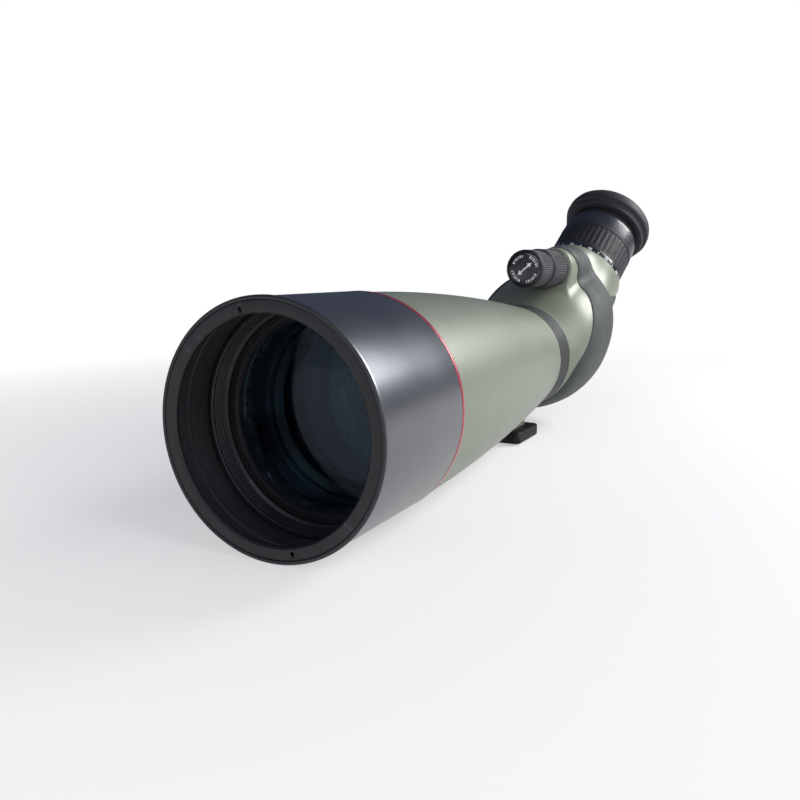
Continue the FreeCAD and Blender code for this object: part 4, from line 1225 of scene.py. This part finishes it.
def wrap_number(text, angle, station, size):
    curve = bpy.data.curves.new("number", "FONT")
    curve.body = text
    curve.size = size
    curve.align_x = "CENTER"
    holder = bpy.data.objects.new("number", curve)
    bpy.context.scene.collection.objects.link(holder)
    bpy.context.view_layer.update()
    mesh = bpy.data.meshes.new_from_object(holder.evaluated_get(bpy.context.evaluated_depsgraph_get()))
    bpy.data.objects.remove(holder)
    work = bmesh.new()
    work.from_mesh(mesh)
    bmesh.ops.remove_doubles(work, verts=work.verts, dist=1e-5)
    made = bmesh.ops.extrude_face_region(work, geom=work.faces[:])
    for element in made["geom"]:
        if isinstance(element, bmesh.types.BMVert):
            element.co.z += 0.3
    work.verts.ensure_lookup_table()
    flat = np.array([v.co[:] for v in work.verts])
    faces = [tuple(v.index for v in face.verts) for face in work.faces]
    work.verts.index_update()
    work.free()
    around = math.radians(angle) - flat[:, 0] / SCALE.outer
    radius = SCALE.outer - 0.24 + flat[:, 2]
    local = np.stack([radius * np.cos(around), station + flat[:, 1], radius * np.sin(around)], -1)
    finish_piece("scale_number_" + text, EYE.world(local), faces, "scope", INK, ())


def wrap_strokes(name, shapes, surface, body):
    """Short raised strokes on a round surface: (degrees, station, width, height) each."""
    vertices = []
    faces = []
    for degrees, station, width, height in shapes:
        base = len(vertices)
        for lift in (-0.2, 0.06):
            for x, y in ((-1, -1), (1, -1), (1, 1), (-1, 1)):
                around = math.radians(degrees) - x * width / 2 / surface
                radius = surface + lift
                vertices.append((radius * math.cos(around), station + y * height / 2,
                                 radius * math.sin(around)))
        faces += slab_faces(base, 4)
    finish_piece(name, EYE.world(np.array(vertices)), faces, body, INK, ())


# ---- light, floor and camera
def soft_light(name, place, target, size, power, color):
    data = bpy.data.lights.new(name, "AREA")
    data.shape = "RECTANGLE"
    data.size = size[0]
    data.size_y = size[1]
    data.energy = power
    data.color = color
    lamp = bpy.data.objects.new(name, data)
    lamp.location = place
    lamp.rotation_euler = (Vector(target) - Vector(place)).to_track_quat("-Z", "Y").to_euler()
    bpy.context.scene.collection.objects.link(lamp)
    lamp.visible_camera = False
    return lamp


def studio():
    middle = (0.0, 0.0, 0.05)
    soft_light("key", (0.48, 0.50, 0.50), middle, (0.34, 0.34), 7.0, (1.0, 0.995, 0.98))
    soft_light("side", (0.72, -0.24, 0.42), (0, 0.02, 0.07), (0.60, 0.60), 5.2, (1.0, 1.0, 1.0))
    soft_light("front", (0.05, -0.95, 0.45), (0, -0.2, 0.05), (0.6, 0.5), 1.6, (0.95, 0.97, 1.0))
    backdrop()


def backdrop():
    """A world that lights the scope with a dim blue and shows white to the camera."""
    world = bpy.data.worlds.new("studio")
    bpy.context.scene.world = world
    world.use_nodes = True
    tree = world.node_tree
    tree.nodes.clear()
    out = tree.nodes.new("ShaderNodeOutputWorld")
    mix = tree.nodes.new("ShaderNodeMixShader")
    path = tree.nodes.new("ShaderNodeLightPath")
    tree.links.new(path.outputs["Is Camera Ray"], mix.inputs["Fac"])
    for slot, color, strength in ((1, (0.42, 0.54, 1.0, 1), 0.13), (2, (1, 1, 1, 1), 1.0)):
        light = tree.nodes.new("ShaderNodeBackground")
        light.inputs["Color"].default_value = color
        light.inputs["Strength"].default_value = strength
        tree.links.new(light.outputs["Background"], mix.inputs[slot])
    tree.links.new(mix.outputs["Shader"], out.inputs["Surface"])


def floor_material():
    """Pale matt floor that fades to the white of the background. Its glow, about half near the middle and full
    further out, is painted light: it lightens the shadows on the floor and lights the scope from below.
    """
    look = Look("studio_floor", (0.80, 0.80, 0.80), 0.75)
    look.tint(look.noise(3, 3), (0.78, 0.78, 0.79), 0.5)
    look.bump(look.noise(300, 3), 0.00005, 0.2)
    # painted light: the floor glows, more the further it is from the middle, whitening it and lifting the shadows
    # on it
    glow = look.node("ShaderNodeEmission")
    glow.inputs["Strength"].default_value = 1.0
    length = look.node("ShaderNodeVectorMath", operation="LENGTH")
    look.link(look.coords, length.inputs[0])
    share = look.ramp(length.outputs["Value"], 0.18, 0.58, 0.45, 1.0)
    look.mix_out(share, look.shader.outputs["BSDF"], glow.outputs["Emission"])
    return look.material


def floor(level):
    rings = [0.0, 0.1, 0.3, 0.7, 1.5, 3.0, 6.0, 12.0]
    count = 64
    vertices = [(0, 0, level)]
    for radius in rings[1:]:
        vertices += [(radius * math.cos(2 * math.pi * k / count),
                      radius * math.sin(2 * math.pi * k / count), level) for k in range(count)]
    faces = [(0, 1 + k, 1 + (k + 1) % count) for k in range(count)]
    for ring in range(len(rings) - 2):
        for k in range(count):
            a = 1 + ring * count
            m = (k + 1) % count
            faces.append((a + k, a + count + k, a + count + m, a + m))
    mesh = bpy.data.meshes.new("floor")
    mesh.from_pydata(vertices, [], faces)
    mesh.materials.append(floor_material())
    plane = bpy.data.objects.new("floor", mesh)
    bpy.context.scene.collection.objects.link(plane)
    plane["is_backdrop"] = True


def camera():
    data = bpy.data.cameras.new("camera")
    data.sensor_width = 36.0
    data.lens = CAMERA_LENS
    data.clip_start = 0.01
    view = bpy.data.objects.new("camera", data)
    view.location = CAMERA_PLACE
    view.rotation_euler = (math.pi / 2 - CAMERA_ELEVATION, 0, CAMERA_AZIMUTH)
    bpy.context.scene.collection.objects.link(view)
    bpy.context.scene.camera = view


# ---- build
dress_frame()
sunshade()
trim_ring()
objective_parts()
red_band()
main_tube()
grip_ring()
thrust_washer()
mount_collar()
foot()
lock_knob()
rear_casting()
armour_skin()
focus_knob()
eyepiece()
zoom_marks()
studio()
camera()
bpy.context.scene.view_settings.view_transform = "Standard"

floor(min(CAD_BOX[0][2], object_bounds()[0][2]))
